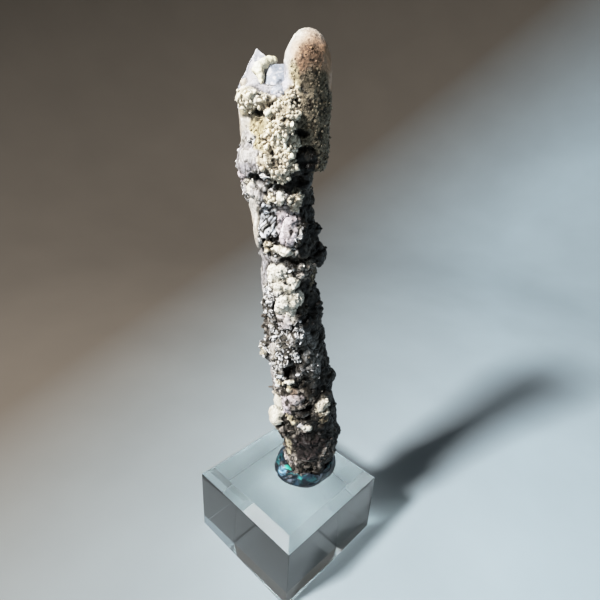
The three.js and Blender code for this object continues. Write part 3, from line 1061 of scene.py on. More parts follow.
@dataclass
class GrainShapes:
    """The facetted shapes that grains of crystal take, each about one millimetre across.

    Attributes:
        seed: Picks the nuggets' facets.
        nuggets: How many different nuggets there are.
    """

    seed: int = 5
    nuggets: int = 7

    def nugget(self, random: np.random.Generator) -> tuple[Array, Array]:
        """Makes a rounded lump, as the hull of points strewn round a ball."""
        strewn = random.normal(size=(16, 3))
        strewn *= (random.uniform(0.36, 0.58, 16) / np.linalg.norm(strewn, axis=1))[:, None]
        strewn[:, 2] += 0.18
        return self.hull(strewn)

    def point(self, leaning: float) -> tuple[Array, Array]:
        """Makes a stubby six-sided crystal with a point, whose tip leans off its middle."""
        corners = []
        for height, radius in ((-0.4, 0.34), (0.5, 0.34)):
            for step in range(6):
                turn = math.radians(60 * step)
                corners.append((radius * math.cos(turn), radius * math.sin(turn), height))
        corners.append((leaning, 0.4 * leaning, 0.9))
        return self.hull(np.array(corners))

    def plate(self) -> tuple[Array, Array]:
        """Makes a thin blade that stands on its edge."""
        corners = []
        for height, half, thick in ((-0.4, 0.45, 0.11), (0.45, 0.5, 0.09), (0.72, 0.24, 0.05)):
            for right, away in itertools.product((-half, half), (-thick, thick)):
                corners.append((right, away, height))
        return self.hull(np.array(corners))

    def hull(self, points: Array) -> tuple[Array, Array]:
        """Wraps points in flat triangles.

        Args:
            points: Places, three to a row.

        Returns:
            The hull's vertices and its triangles, with their faces outward.
        """
        wrap = bmesh.new()
        for place in points:
            wrap.verts.new(place)
        made = bmesh.ops.convex_hull(wrap, input=wrap.verts, use_existing_faces=False)
        inside = [item for item in made["geom_interior"] if isinstance(item, bmesh.types.BMVert)]
        bmesh.ops.delete(wrap, geom=inside, context="VERTS")
        bmesh.ops.recalc_face_normals(wrap, faces=wrap.faces)
        wrap.verts.index_update()
        places = np.array([vertex.co[:] for vertex in wrap.verts])
        faces = np.array([[vertex.index for vertex in face.verts] for face in wrap.faces])
        wrap.free()
        return places, faces

    def of(self, habit: Habit) -> list[tuple[Array, Array]]:
        """Returns every shape that a habit takes."""
        if habit is Habit.POINT:
            return [self.point(leaning) for leaning in (0.0, 0.08, -0.12)]
        if habit is Habit.PLATE:
            return [self.plate()]
        random = np.random.default_rng(self.seed)
        return [self.nugget(random) for _ in range(self.nuggets)]


@dataclass
class Druse:
    """Loose grains of crystal grown on the column's skin, joined in one mesh.

    Attributes:
        name: The piece's name.
        column: The column that they grow on.
        kinds: The crusts that they belong to.
        seed: Picks where they stand.
        lean: How far a grain leans off the skin's normal.
        size_spread: How much grains differ in size, as a spread of its logarithm.
        stretch_spread: How much each grain is longer one way than another, in the same way.
        grit: How strongly the grains' own skin is broken up.
    """

    name: str
    column: QuartzColumn
    kinds: tuple[Crust, ...]
    seed: int
    lean: float = 0.42
    size_spread: float = 0.42
    stretch_spread: float = 0.18
    grit: float = 0.1

    def build(self) -> Object:
        """Strews, shapes and joins the grains, and returns them in millimetres."""
        random = np.random.default_rng(self.seed)
        shapes = GrainShapes()
        blocks, faces, tints, reliefs, shines, rounds = [], [], [], [], [], []
        count = 0
        for kind in self.kinds:
            spots = self.column.strew(kind, random)
            choices = shapes.of(kind.value.habit)
            which = random.integers(0, len(choices), len(spots.places))
            for number, (corners, triangles) in enumerate(choices):
                here = spots.only(which == number)
                total = len(here.places)
                if not total:
                    continue
                blocks.append(self.place(corners, here, kind, random).reshape(-1, 3))
                start = count + len(corners) * np.arange(total)
                faces.append((triangles[None] + start[:, None, None]).reshape(-1, 3))
                rounds += [kind.value.habit is Habit.NUGGET] * len(faces[-1])
                count += len(blocks[-1])
                tints.append(np.repeat(self.grain_tints(kind, here, random), len(corners), axis=0))
                # A grain's foot gets a low relief, so the finish paints shade at its foot.
                reliefs.append(np.tile(corners[:, 2] * 1.5 - 0.15, total))
                shines.append(np.full(len(blocks[-1]), kind.value.shine))
        made = mesh_object(self.name, np.concatenate(blocks), np.concatenate(faces))
        relief, shine = np.concatenate(reliefs), np.concatenate(shines)
        write_crust(made, np.concatenate(tints), relief, shine, self.grit)
        made.data.polygons.foreach_set("use_smooth", rounds)
        return made

    def place(
        self, corners: Array, spots: Spots, kind: Crust, random: np.random.Generator
    ) -> Array:
        """Turns, sizes and sets one shape on each of its spots.

        Args:
            corners: The shape's vertices.
            spots: Where the shape stands.
            kind: The grains' crust.
            random: The source of chance.

        Returns:
            The placed vertices, a block of rows for each spot.
        """
        total = len(spots.places)
        lean = self.lean * (2.0 if kind.value.habit is Habit.PLATE else 1.0)
        upward = spots.normals + lean * random.normal(size=(total, 3))
        upward /= np.linalg.norm(upward, axis=1)[:, None]
        side = np.cross(upward, random.normal(size=(total, 3)))
        side /= np.linalg.norm(side, axis=1)[:, None]
        third = np.cross(upward, side)
        turned = np.stack([side, third, upward], 1)
        larger = np.clip(self.size_spread * random.normal(size=total), -1.0, 0.55)
        size = kind.value.grain * np.exp(larger)
        stretch = np.exp(self.stretch_spread * random.normal(size=(total, 3)))
        sized = corners[None] * (size[:, None] * stretch)[:, None, :]
        return np.einsum("nvk,nkc->nvc", sized, turned) + spots.places[:, None, :]

    def grain_tints(self, kind: Crust, spots: Spots, random: np.random.Generator) -> Array:
        """Returns a colour for each grain: its skin's colour, painted shade included, lighter or
        darker by chance.
        """
        uneven = (0.1 + 1.6 * kind.value.soot) * random.normal(size=len(spots.places))
        tone = np.exp(uneven)[:, None]
        pale = np.array(kind.value.tint) * 0.55 + spots.tints * 0.45
        return np.clip(pale * tone * kind.value.glow, 0.01, 0.85)


# ---- Pointed crystals ----


@dataclass(frozen=True)
class Spire:
    """One six-sided crystal of the crown.

    Attributes:
        base: The middle of its foot: right, away and up.
        shoulder: How high its sides end.
        tips: Its point, or the ends of the ridge that it has in place of one.
        radius: From its middle to its corners.
        turn: How far its corners are turned, in degrees.
        waist: How far out every other corner stands, as a share of the radius.
        tint: Its colour.
    """

    base: Triple
    shoulder: float
    tips: tuple[Triple, ...]
    radius: float
    turn: float
    waist: float
    tint: Triple


@dataclass
class Crown:
    """The pale pointed crystals beside the finger, as one worn skin.

    Attributes:
        spires: The crystals.
        voxel: The width of the skin's faces.
        uneven: How far a crystal's shoulder wanders up and down.
        striae: How wide and how deep the striations are.
        dents: How wide and how deep the dents are.
        chips: How wide and how deep the chips are.
        clouds: How wide the cloudy patches are, in millimetres, and how strong.
        flecks: How wide the pale flecks are, and how strong.
        dusk: How wide the dark patches are, and how strong.
        pale: The colour of the edges, the clouds and the flecks.
        shine: From 0, chalky, to 1, glassy.
        grit: How strongly the skin is broken into fine grains.
        seed: Picks the striations and the wear.
    """

    spires: tuple[Spire, ...] = (
        Spire(
            (-15.2, 0.6, 105.0), 109.8, ((-16.3, -0.4, 117.2), (-13.4, -2.1, 115.0)), 5.4, 5.0,
            0.52, (0.27, 0.285, 0.325),
        ),
        Spire(
            (-10.2, -2.4, 104.0), 108.8, ((-13.4, -1.7, 114.3), (-10.0, -1.4, 114.4)), 5.0, 25.0,
            0.86, (0.28, 0.31, 0.36),
        ),
        Spire(
            (-9.0, 2.6, 100.0), 107.0, ((-9.2, 3.0, 113.2),), 4.2, 20.0, 0.88, (0.36, 0.36, 0.40)
        ),
    )
    voxel: float = 0.2
    uneven: float = 0.4
    striae: Pair = (0.45, 0.035)
    dents: Pair = (2.6, 0.16)
    chips: Pair = (1.1, 0.22)
    clouds: Pair = (2.2, 0.2)
    flecks: Pair = (0.55, 0.6)
    dusk: Pair = (1.1, 0.6)
    pale: Triple = (0.66, 0.65, 0.67)
    shine: float = 0.55
    grit: float = 0.12
    seed: int = 71

    def build(self) -> Object:
        """Makes the crystals as one worn skin, and returns them in millimetres."""
        places, faces = [], []
        for spire in self.spires:
            corners, triangles = self.spire_hull(spire)
            faces.append(triangles + sum(len(block) for block in places))
            places.append(corners)
        made = mesh_object("pointed_crystals", np.concatenate(places), np.concatenate(faces))
        renew_skin(made, self.voxel, 2)
        skin = vertices_of(made)
        striae = smooth_noise(skin * (0.3, 0.3, 1.0), self.striae[0], self.seed)
        dents = rough_noise(skin, self.dents[0], self.seed + 1)
        chips = eased(rough_noise(skin, self.chips[0], self.seed + 2), 0.35, 0.7)
        depth = self.striae[1] * striae + self.dents[1] * dents - self.chips[1] * chips
        set_vertices(made, skin + normals_of(made) * depth[:, None])
        edges = eased(heights_over_smoothed(made), 0.05, 0.16)
        # Chips get a low relief, so the finish paints shade into them.
        relief = np.clip(0.1 + 0.4 * edges - 0.8 * chips, -1, 1)
        write_crust(made, self.tints(vertices_of(made), edges), relief, self.shine, self.grit)
        shade_smooth(made)
        return made

    def spire_hull(self, spire: Spire) -> tuple[Array, Array]:
        """Returns the corners and triangles of one crystal."""
        corners = []
        for height, uneven in ((spire.base[2], 0.0), (spire.shoulder, self.uneven)):
            for step in range(6):
                turn = math.radians(60 * step + spire.turn)
                radius = spire.radius * (1.0 if step % 2 else spire.waist)
                right = spire.base[0] + radius * math.cos(turn)
                away = spire.base[1] + radius * math.sin(turn)
                corners.append((right, away, height + uneven * math.sin(2.3 * step + spire.turn)))
        corners.extend(spire.tips)
        return GrainShapes().hull(np.array(corners))

    def tints(self, places: Array, edges: Array) -> Array:
        """Returns the skin's colours, palest along the edges and in cloudy patches."""
        middles = np.array([[spire.base[0], spire.base[1]] for spire in self.spires])
        nearest = np.linalg.norm(places[:, None, :2] - middles[None], axis=2).argmin(1)
        tints = np.array([spire.tint for spire in self.spires])[nearest]
        clouds = eased(rough_noise(places, self.clouds[0], self.seed + 5), -0.2, 0.6)
        flecks = eased(rough_noise(places, self.flecks[0], self.seed + 6), 0.12, 0.4)
        dusk = eased(rough_noise(places, self.dusk[0], self.seed + 7), 0.0, 0.4)[:, None]
        pale = np.clip(self.clouds[1] * clouds + self.flecks[1] * flecks + 0.9 * edges, 0, 1)
        return laid_over(tints * (1 - self.dusk[1] * dusk), self.pale, pale)


@dataclass(frozen=True)
class Bead:
    """One round swelling of a growth.

    Attributes:
        place: Its middle.
        radius: Its radius.
    """

    place: Triple
    radius: float


@dataclass
class Growths:
    """Smooth cream lumps grown over the crown, each a few beads run together.

    Attributes:
        beads: The swellings.
        voxel: The width of the skin's faces.
        bump: How wide their small round bumps are.
        pale: The colour that they wander to.
        deep: The colour that they wander from.
        shine: From 0, chalky, to 1, glassy.
        grit: How strongly the skin is broken into fine grains.
        seed: Picks their small bumps.
    """

    beads: tuple[Bead, ...] = (
        Bead((-12.6, -0.9, 114.9), 0.85),
        Bead((-13.5, -1.3, 114.8), 1.05),
        Bead((-14.5, -1.9, 114.2), 1.2),
        Bead((-15.5, -2.3, 113.5), 1.2),
        Bead((-16.2, -2.2, 112.9), 0.9),
        Bead((-15.3, -3.0, 112.3), 0.95),
        Bead((-14.9, -3.6, 111.4), 0.75),
        Bead((-14.8, -4.0, 110.6), 0.55),
    )
    voxel: float = 0.16
    bump: float = 0.9
    pale: Triple = (0.84, 0.82, 0.70)
    deep: Triple = (0.74, 0.69, 0.53)
    shine: float = 0.35
    grit: float = 0.2
    seed: int = 88

    def build(self) -> Object:
        """Joins the beads in one skin, and returns it in millimetres."""
        joined = bmesh.new()
        for bead in self.beads:
            place = Matrix.Translation(Vector(bead.place))
            bmesh.ops.create_icosphere(joined, subdivisions=3, radius=bead.radius, matrix=place)
        mesh = bpy.data.meshes.new("cream_growths")
        joined.to_mesh(mesh)
        joined.free()
        made = object_of("cream_growths", mesh)
        renew_skin(made, self.voxel, 5)
        places = vertices_of(made)
        cells = Pebbles.at(places, self.bump, self.seed)
        bumps = 0.13 * (cells.dome() - 0.5) + 0.1 * rough_noise(places, 0.8, self.seed + 5)
        set_vertices(made, places + normals_of(made) * bumps[:, None])
        wander = eased(rough_noise(places, 1.6, self.seed + 6), -0.4, 0.4)[:, None]
        tints = np.array(self.pale) * wander + np.array(self.deep) * (1 - wander)
        relief = np.clip(2.2 * bumps + 0.1, -1, 1)
        write_crust(made, tints, relief, self.shine, self.grit)
        shade_smooth(made)
        return made


# ---- Putty ----


@dataclass(frozen=True)
class Dab:
    """A dab of another colour pressed into the putty.

    Attributes:
        place: Its middle.
        reach: How far it spreads each way.
        tint: Its colour.
    """

    place: Triple
    reach: Triple
    tint: Triple


@dataclass(frozen=True)
class Streak:
    """A colour drawn through the putty in bands.

    Attributes:
        squeeze: How many times shorter its pattern is each way.
        size: How wide its swells are.
        seed: Keeps its pattern apart from the other streaks'.
        edge: Where in the pattern it comes in.
        tint: The colour.
    """

    squeeze: Triple
    size: float
    seed: int
    edge: Pair
    tint: Triple


@dataclass
class PuttyWad:
    """The marbled wad that holds the crystal upright on the block.

    Attributes:
        space: The specimen's own space.
        voxel: The width of the skin's faces.
        gap: How far its underside is held off the block.
        seed: Picks the folds and the marbling.
        ground: The colour under the streaks and the dabs.
        streaks: The colours drawn through it.
        dabs: The dabs pressed into it.
    """

    space: SpecimenSpace
    voxel: float = 0.25
    gap: float = 0.03
    seed: int = 301
    ground: Triple = (0.006, 0.010, 0.017)
    streaks: tuple[Streak, ...] = (
        Streak((0.45, 0.45, 1.5), 1.5, 15, (-0.1, 0.5), (0.014, 0.040, 0.066)),
        Streak((0.5, 0.5, 1.7), 1.1, 16, (0.3, 0.6), (0.02, 0.11, 0.125)),
        Streak((0.5, 0.5, 2.0), 0.9, 17, (0.42, 0.7), (0.10, 0.13, 0.17)),
    )
    dabs: tuple[Dab, ...] = (
        Dab((-6.6, -5.6, 4.6), (1.6, 2.4, 1.5), (0.16, 0.30, 0.42)),
        Dab((-4.8, -6.0, 6.4), (1.5, 1.5, 0.9), (0.05, 0.42, 0.33)),
        Dab((-1.2, -8.0, 4.6), (1.3, 1.6, 1.0), (0.06, 0.36, 0.36)),
        Dab((3.4, -7.2, 2.6), (2.6, 2.0, 0.5), (0.10, 0.22, 0.30)),
    )

    def build(self) -> Object:
        """Makes the wad's skin from the frame's solid, and returns it in millimetres."""
        made = copy_of_node("putty_wad", "marbled_putty", self.space)
        renew_skin(made, self.voxel, 5)
        places = vertices_of(made)
        lift = eased(places[:, 2], 0.2, 1.6)
        places = places + normals_of(made) * (self.folds(places) * lift)[:, None]
        places[:, 2] = np.where(places[:, 2] < 0.3, self.gap, places[:, 2])
        set_vertices(made, places)
        write_values(made, "tint", self.marbling(places))
        shade_smooth(made)
        return made

    def folds(self, places: Array) -> Array:
        """Returns the height of the putty's folds and creases at each point, in millimetres."""
        bent = places + 1.6 * swirl(places, 4.2, self.seed)
        swell = 0.42 * rough_noise(bent, 4.4, self.seed + 4, 2)
        ridges = 1 - np.abs(smooth_noise(bent * (0.5, 0.5, 1.35), 2.2, self.seed + 7))
        crease = -0.5 * eased(ridges, 0.86, 1.0)
        return swell + crease + 0.07 * rough_noise(places, 0.9, self.seed + 9)

    def marbling(self, places: Array) -> Array:
        """Returns the putty's colours: black and navy drawn into each other, with paler dabs."""
        bent = places + 2.4 * swirl(places, 3.6, self.seed + 11, 2)
        tints = np.tile(np.array(self.ground), (len(places), 1))
        for streak in self.streaks:
            pattern = smooth_noise(bent * streak.squeeze, streak.size, self.seed + streak.seed)
            tints = laid_over(tints, streak.tint, eased(pattern, *streak.edge))
        for dab in self.dabs:
            away = np.linalg.norm((places - dab.place) / dab.reach, axis=1)
            ragged = away + 0.6 * rough_noise(places, 1.2, self.seed + 21)
            tints = laid_over(tints, dab.tint, eased(ragged, 1.0, 0.5))
        lines = np.abs(smooth_noise(bent * (0.5, 0.5, 2.4), 0.8, self.seed + 18))
        dark = 0.8 * eased(lines, 0.22, 0.02)[:, None]
        return tints * (1 - dark)


# ---- Block ----


@dataclass
class AcrylicBlock:
    """The clear block: polished faces, a wide bevel round its top and finely rounded edges.

    Attributes:
        bevel: How wide and how high the bevel round the top is.
        round_by: How far its edges are rounded.
        segments: How many steps that rounding has.
    """

    bevel: float = 2.9
    round_by: float = 0.1
    segments: int = 3

    def build(self) -> Object:
        """Makes the block in the box of the frame's own, in metres, and returns it."""
        low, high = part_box("acrylic_block")
        inset = self.bevel * MM
        block = bmesh.new()
        rings = []
        for height, shrink in ((low.z, 0.0), (high.z - inset, 0.0), (high.z, inset)):
            left, right = low.x + shrink, high.x - shrink
            front, back = low.y + shrink, high.y - shrink
            outline = ((left, front), (right, front), (right, back), (left, back))
            rings.append([block.verts.new((*place, height)) for place in outline])
        block.faces.new(reversed(rings[0]))
        block.faces.new(rings[2])
        for lower, upper in itertools.pairwise(rings):
            for side in range(4):
                after = (side + 1) % 4
                block.faces.new((lower[side], lower[after], upper[after], upper[side]))
        bmesh.ops.bevel(
            block,
            geom=block.edges[:],
            offset=self.round_by * MM,
            segments=self.segments,
            profile=0.5,
            affect="EDGES",
        )
        mesh = bpy.data.meshes.new("clear_block")
        block.to_mesh(mesh)
        block.free()
        return object_of("clear_block", mesh)


# ---- Shared effects ----


class NodeTree:
    """Short ways to add and join the nodes of a material or a group."""

    def __init__(self, tree: bpy.types.NodeTree) -> None:
        """Keeps the tree that the nodes go in."""
        self.tree = tree

    def add(self, kind: str, **settings: object) -> bpy.types.Node:
        """Adds one node.

        Args:
            kind: The node's type, without its ShaderNode prefix.
            settings: Its properties.

        Returns:
            The new node.
        """
        node = self.tree.nodes.new("ShaderNode" + kind)
        for key, value in settings.items():
            setattr(node, key, value)
        return node

    def ends(self) -> tuple[bpy.types.NodeOutputs, bpy.types.NodeInputs]:
        """Opens both ends of a group, and returns the sockets it is given and those it fills."""
        given = self.tree.nodes.new("NodeGroupInput")
        return given.outputs, self.tree.nodes.new("NodeGroupOutput").inputs

    def join(self, source: Socket, target: Socket) -> None:
        """Links one socket to another."""
        self.tree.links.new(source, target)

    def feed(self, given: Socket | float | tuple[float, ...], target: Socket) -> None:
        """Links a socket to an input, or sets the input to a number or a row of them.

        Args:
            given: The socket, the number or the row.
            target: The input.
        """
        if isinstance(given, Socket):
            self.join(given, target)
        else:
            target.default_value = given

    def attribute(self, name: str, colour: bool = False) -> Socket:
        """Returns the socket that gives a mesh's own value or colour of that name."""
        return self.add("Attribute", attribute_name=name).outputs["Color" if colour else "Fac"]

    def spread(
        self, value: Socket, low: float, high: float, to_low: float, to_high: float
    ) -> Socket:
        """Maps a value from one range to another, and keeps it inside that.

        Args:
            value: The value's socket.
            low: Where the first range starts.
            high: Where it ends.
            to_low: Where the second range starts.
            to_high: Where it ends.

        Returns:
            The mapped value's socket.
        """
        node = self.add("MapRange")
        self.join(value, node.inputs["Value"])
        spans = {"From Min": low, "From Max": high, "To Min": to_low, "To Max": to_high}
        for name, number in spans.items():
            node.inputs[name].default_value = number
        return node.outputs["Result"]

    def arithmetic(self, operation: str, first: Socket, second: Socket | float) -> Socket:
        """Returns the socket of one sum of two values, the second of which may be a number."""
        node = self.add("Math", operation=operation)
        self.join(first, node.inputs[0])
        self.feed(second, node.inputs[1])
        return node.outputs["Value"]

    def vector(self, operation: str, first: Socket, second: Socket | float | Triple) -> Socket:
        """Works out one sum with a vector.

        Args:
            operation: The sum, such as ADD.
            first: The vector's socket.
            second: Another vector, or the factor of SCALE: a socket or its numbers.

        Returns:
            The socket of the vector that comes out, or of the number that DOT_PRODUCT gives.
        """
        node = self.add("VectorMath", operation=operation)
        self.join(first, node.inputs[0])
        self.feed(second, node.inputs["Scale"] if operation == "SCALE" else node.inputs[1])
        return node.outputs["Value" if operation == "DOT_PRODUCT" else "Vector"]

    def mixed(
        self, factor: Socket, first: Socket | Triple, second: Socket | Triple, blend: str = "MIX"
    ) -> Socket:
        """Mixes two colours, each a socket or three numbers, by a factor.

        Args:
            factor: The factor's socket.
            first: The colour at 0.
            second: The colour at 1.
            blend: The way they mix.

        Returns:
            The mixed colour's socket.
        """
        node = self.add("Mix", data_type="RGBA", blend_type=blend)
        self.join(factor, node.inputs["Factor"])
        for given, name in ((first, "A"), (second, "B")):
            socket = next(item for item in node.inputs if item.name == name and item.type == "RGBA")
            self.feed((*given, 1.0) if isinstance(given, tuple) else given, socket)
        return next(item for item in node.outputs if item.type == "RGBA")

    def noise(self, place: Socket, scale: float, detail: float) -> bpy.types.Node:
        """Adds a noise texture at a place, with that many swells to the millimetre."""
        node = self.add("TexNoise")
        self.join(place, node.inputs["Vector"])
        node.inputs["Scale"].default_value = scale
        node.inputs["Detail"].default_value = detail
        return node

    def millimetres(self) -> Socket:
        """Returns the socket that gives the place on the object, in millimetres."""
        return self.vector("SCALE", self.add("TexCoord").outputs["Object"], 1 / MM)

    def bump(self, height: Socket, depth: float) -> bpy.types.Node:
        """Adds a node that bends the normal by a height, with a depth in metres."""
        node = self.add("Bump")
        node.inputs["Distance"].default_value = depth
        self.join(height, node.inputs["Height"])
        return node


def new_group(name: str, inputs: dict[str, str], outputs: dict[str, str]) -> NodeTree:
    """Starts a shader node group with named inputs and outputs.

    Args:
        name: The group's name.
        inputs: Each input's socket type.
        outputs: Each output's socket type.

    Returns:
        The group's tree.
    """
    group = bpy.data.node_groups.new(name, "ShaderNodeTree")
    for way, sockets in (("INPUT", inputs), ("OUTPUT", outputs)):
        for label, kind in sockets.items():
            group.interface.new_socket(label, in_out=way, socket_type="NodeSocket" + kind)
    return NodeTree(group)


class Effects:
    """The node groups that several finishes share, each built once."""

    def __init__(self) -> None:
        """Builds the groups."""
        self.shade_and_frost = self.build_shade_and_frost()
        self.facets = self.build_facets()
        self.mottle = self.build_mottle()
        self.grains = self.build_grains()

    def place(self, tree: NodeTree, group: bpy.types.NodeTree, **values: float) -> bpy.types.Node:
        """Places a group in a material, with its own values.

        Args:
            tree: The material's tree.
            group: The group.
            values: Numbers for its inputs, by name.

        Returns:
            The placed group's node.
        """
        node = tree.add("Group")
        node.node_tree = group
        for name, value in values.items():
            node.inputs[name.capitalize()].default_value = value
        return node

    def build_shade_and_frost(self) -> bpy.types.NodeTree:
        """Builds the group that paints shade into hollows and frosts what stands proud."""
        tree = new_group(
            "shade_and_frost",
            {"Tint": "Color", "Relief": "Float", "Hollow_shade": "Float", "Frost": "Float"},
            {"Color": "Color", "Hollow": "Float"},
        )
        given, result = tree.ends()
        place = tree.millimetres()
        broken = tree.noise(place, 1.6, 4.0)
        shift = tree.spread(broken.outputs["Fac"], *NOISE_SPAN, -0.35, 0.35)
        height = tree.arithmetic("ADD", given["Relief"], shift)
        hollow = tree.spread(height, -0.12, -0.7, 0.0, 1.0)
        hollow_shade = tree.arithmetic("MULTIPLY", hollow, given["Hollow_shade"])
        # The near-black colour of the painted shade laid in hollows.
        shaded_tint = tree.mixed(hollow_shade, given["Tint"], (0.012, 0.010, 0.008))
        proud = tree.spread(height, 0.25, 0.95, 0.0, 1.0)
        frost = tree.arithmetic("MULTIPLY", proud, given["Frost"])
        frosted = tree.mixed(frost, shaded_tint, given["Tint"], "SCREEN")
        tree.join(frosted, result["Color"])
        tree.join(hollow, result["Hollow"])
        return tree.tree

    def build_facets(self) -> bpy.types.NodeTree:
        """Builds the group that breaks a surface into small flat faces, which glint singly."""
        tree = new_group("facets", {"Scale": "Float", "Tilt": "Float"}, {"Normal": "Vector"})
        given, result = tree.ends()
        cells = tree.add("TexVoronoi")
        tree.join(tree.millimetres(), cells.inputs["Vector"])
        tree.join(given["Scale"], cells.inputs["Scale"])
        centred = tree.vector("SUBTRACT", cells.outputs["Color"], (0.5, 0.5, 0.5))
        tilted = tree.vector("SCALE", centred, given["Tilt"])
        unit = tree.add("VectorMath", operation="NORMALIZE")
        own = tree.add("NewGeometry").outputs["Normal"]
        tree.join(tree.vector("ADD", own, tilted), unit.inputs[0])
        tree.join(unit.outputs["Vector"], result["Normal"])
        return tree.tree

    def build_mottle(self) -> bpy.types.NodeTree:
        """Builds the group that varies a colour's tone from place to place."""
        tree = new_group(
            "mottle",
            {"Tint": "Color", "Scale": "Float", "Depth": "Float"},
            {"Color": "Color", "Height": "Float"},
        )
        given, result = tree.ends()
        spots = tree.noise(tree.millimetres(), 1.0, 5.0)
        tree.join(given["Scale"], spots.inputs["Scale"])
        signed = tree.spread(spots.outputs["Fac"], *NOISE_SPAN, -1.0, 1.0)
        swing = tree.arithmetic("MULTIPLY", signed, given["Depth"])
        gain = tree.arithmetic("ADD", swing, 1.0)
        tree.join(tree.vector("SCALE", given["Tint"], gain), result["Color"])
        tree.join(spots.outputs["Fac"], result["Height"])
        return tree.tree

    def build_grains(self) -> bpy.types.NodeTree:
        """Builds the group that breaks a crust into fine grains with dark gaps between them."""
        tree = new_group(
            "grains",
            {"Tint": "Color", "Grit": "Float", "Scale": "Float", "Gap": "Float"},
            {"Color": "Color", "Height": "Float"},
        )
        given, result = tree.ends()
        place = tree.millimetres()
        wander = tree.noise(place, 1.3, 2.0)
        bent = tree.vector("ADD", place, wander.outputs["Color"])
        cells = tree.add("TexVoronoi")
        borders = tree.add("TexVoronoi", feature="DISTANCE_TO_EDGE")
        for node in (cells, borders):
            tree.join(bent, node.inputs["Vector"])
            tree.join(given["Scale"], node.inputs["Scale"])
        inside = tree.arithmetic("DIVIDE", borders.outputs["Distance"], given["Gap"])
        broken = tree.spread(tree.noise(place, 0.8, 2.0).outputs["Fac"], 0.38, 0.62, 0.15, 1.0)
        firm = tree.arithmetic("MULTIPLY", broken, given["Grit"])
        gap = tree.arithmetic("MULTIPLY", tree.spread(inside, 0.1, 1.0, 0.7, 0.0), firm)
        split = tree.add("SeparateColor")
        tree.join(cells.outputs["Color"], split.inputs["Color"])
        swing = tree.spread(split.outputs["Red"], 0.0, 1.0, -0.55, 0.55)
        tone = tree.arithmetic("MULTIPLY", swing, firm)
        kept = tree.arithmetic("SUBTRACT", tone, gap)
        gain = tree.arithmetic("MAXIMUM", tree.arithmetic("ADD", kept, 1.0), 0.08)
        tree.join(tree.vector("SCALE", given["Tint"], gain), result["Color"])
        dome = tree.spread(cells.outputs["Distance"], 0.0, 0.8, 1.0, 0.0)
        tree.join(tree.arithmetic("MULTIPLY", dome, firm), result["Height"])
        return tree.tree


# ---- Finishes ----


def new_material(name: str) -> tuple[bpy.types.Material, NodeTree, bpy.types.Node]:
    """Starts a material.

    Args:
        name: The material's name.

    Returns:
        The material, its tree and its shader.
    """
    material = bpy.data.materials.new(name)
    material.use_nodes = True
    return material, NodeTree(material.node_tree), material.node_tree.nodes["Principled BSDF"]


@dataclass(frozen=True)
class CrustFinish:
    """The finish of quartz and its crusts, which reads the mesh's own colours and relief.

    Attributes:
        name: The material's name.
        hollow_shade: How dark the hollows are painted, as painted shade.
        frost: How pale the peaks are.
        facet_scale: How many glinting faces there are to the millimetre.
        facet_tilt: How far those faces lean.
        grain_scale: How many fine grains there are to the millimetre.
        dull: The roughness of a chalky crust.
        glassy: The roughness of a glassy one.
        bump: The depth of the fine grain, in metres.
        ior: How strongly the skin bends light.
        specular: How strongly it mirrors.
        glow: How much light soaks through the skin.
        soak: How far each colour of that light goes, as a share of the depth.
        soak_depth: The depth that it reaches, in metres.
    """

    name: str
    hollow_shade: float = 0.95
    frost: float = 0.5
    facet_scale: float = 2.2
    facet_tilt: float = 0.5
    grain_scale: float = 2.4
    dull: float = 0.82
    glassy: float = 0.24
    bump: float = 0.0002
    ior: float = 1.54
    specular: float = 0.18
    glow: float = 0.0
    soak: Triple = (1.0, 0.9, 0.85)
    soak_depth: float = 1.2 * MM

    def build(self, effects: Effects) -> bpy.types.Material:
        """Makes the material."""
        material, tree, shader = new_material(self.name)
        mottle = effects.place(tree, effects.mottle, scale=2.6, depth=0.15)
        tree.join(tree.attribute("tint", colour=True), mottle.inputs["Tint"])
        grains = effects.place(tree, effects.grains, scale=self.grain_scale, gap=0.16)
        tree.join(mottle.outputs["Color"], grains.inputs["Tint"])
        tree.join(tree.attribute("grit"), grains.inputs["Grit"])
        # Painted shade in hollows, and frost on what stands proud.
        shade_and_frost = effects.place(tree, effects.shade_and_frost, hollow_shade=self.hollow_shade, frost=self.frost)
        tree.join(grains.outputs["Color"], shade_and_frost.inputs["Tint"])
        tree.join(tree.attribute("relief"), shade_and_frost.inputs["Relief"])
        tree.join(shade_and_frost.outputs["Color"], shader.inputs["Base Color"])
        facets = effects.place(tree, effects.facets, scale=self.facet_scale, tilt=self.facet_tilt)
        fine = tree.arithmetic("MULTIPLY", mottle.outputs["Height"], 0.35)
        bump = tree.bump(tree.arithmetic("ADD", grains.outputs["Height"], fine), self.bump)
        tree.join(facets.outputs["Normal"], bump.inputs["Normal"])
        tree.join(bump.outputs["Normal"], shader.inputs["Normal"])
        sheen = tree.spread(tree.attribute("shine"), 0.0, 1.0, self.dull, self.glassy)
        matt = tree.arithmetic("MULTIPLY", shade_and_frost.outputs["Hollow"], 0.3)
        tree.join(tree.arithmetic("ADD", sheen, matt), shader.inputs["Roughness"])
        shader.inputs["IOR"].default_value = self.ior
        shader.inputs["Specular IOR Level"].default_value = self.specular
        if self.glow:
            shader.inputs["Subsurface Weight"].default_value = self.glow
            shader.inputs["Subsurface Radius"].default_value = self.soak
            shader.inputs["Subsurface Scale"].default_value = self.soak_depth
        return material


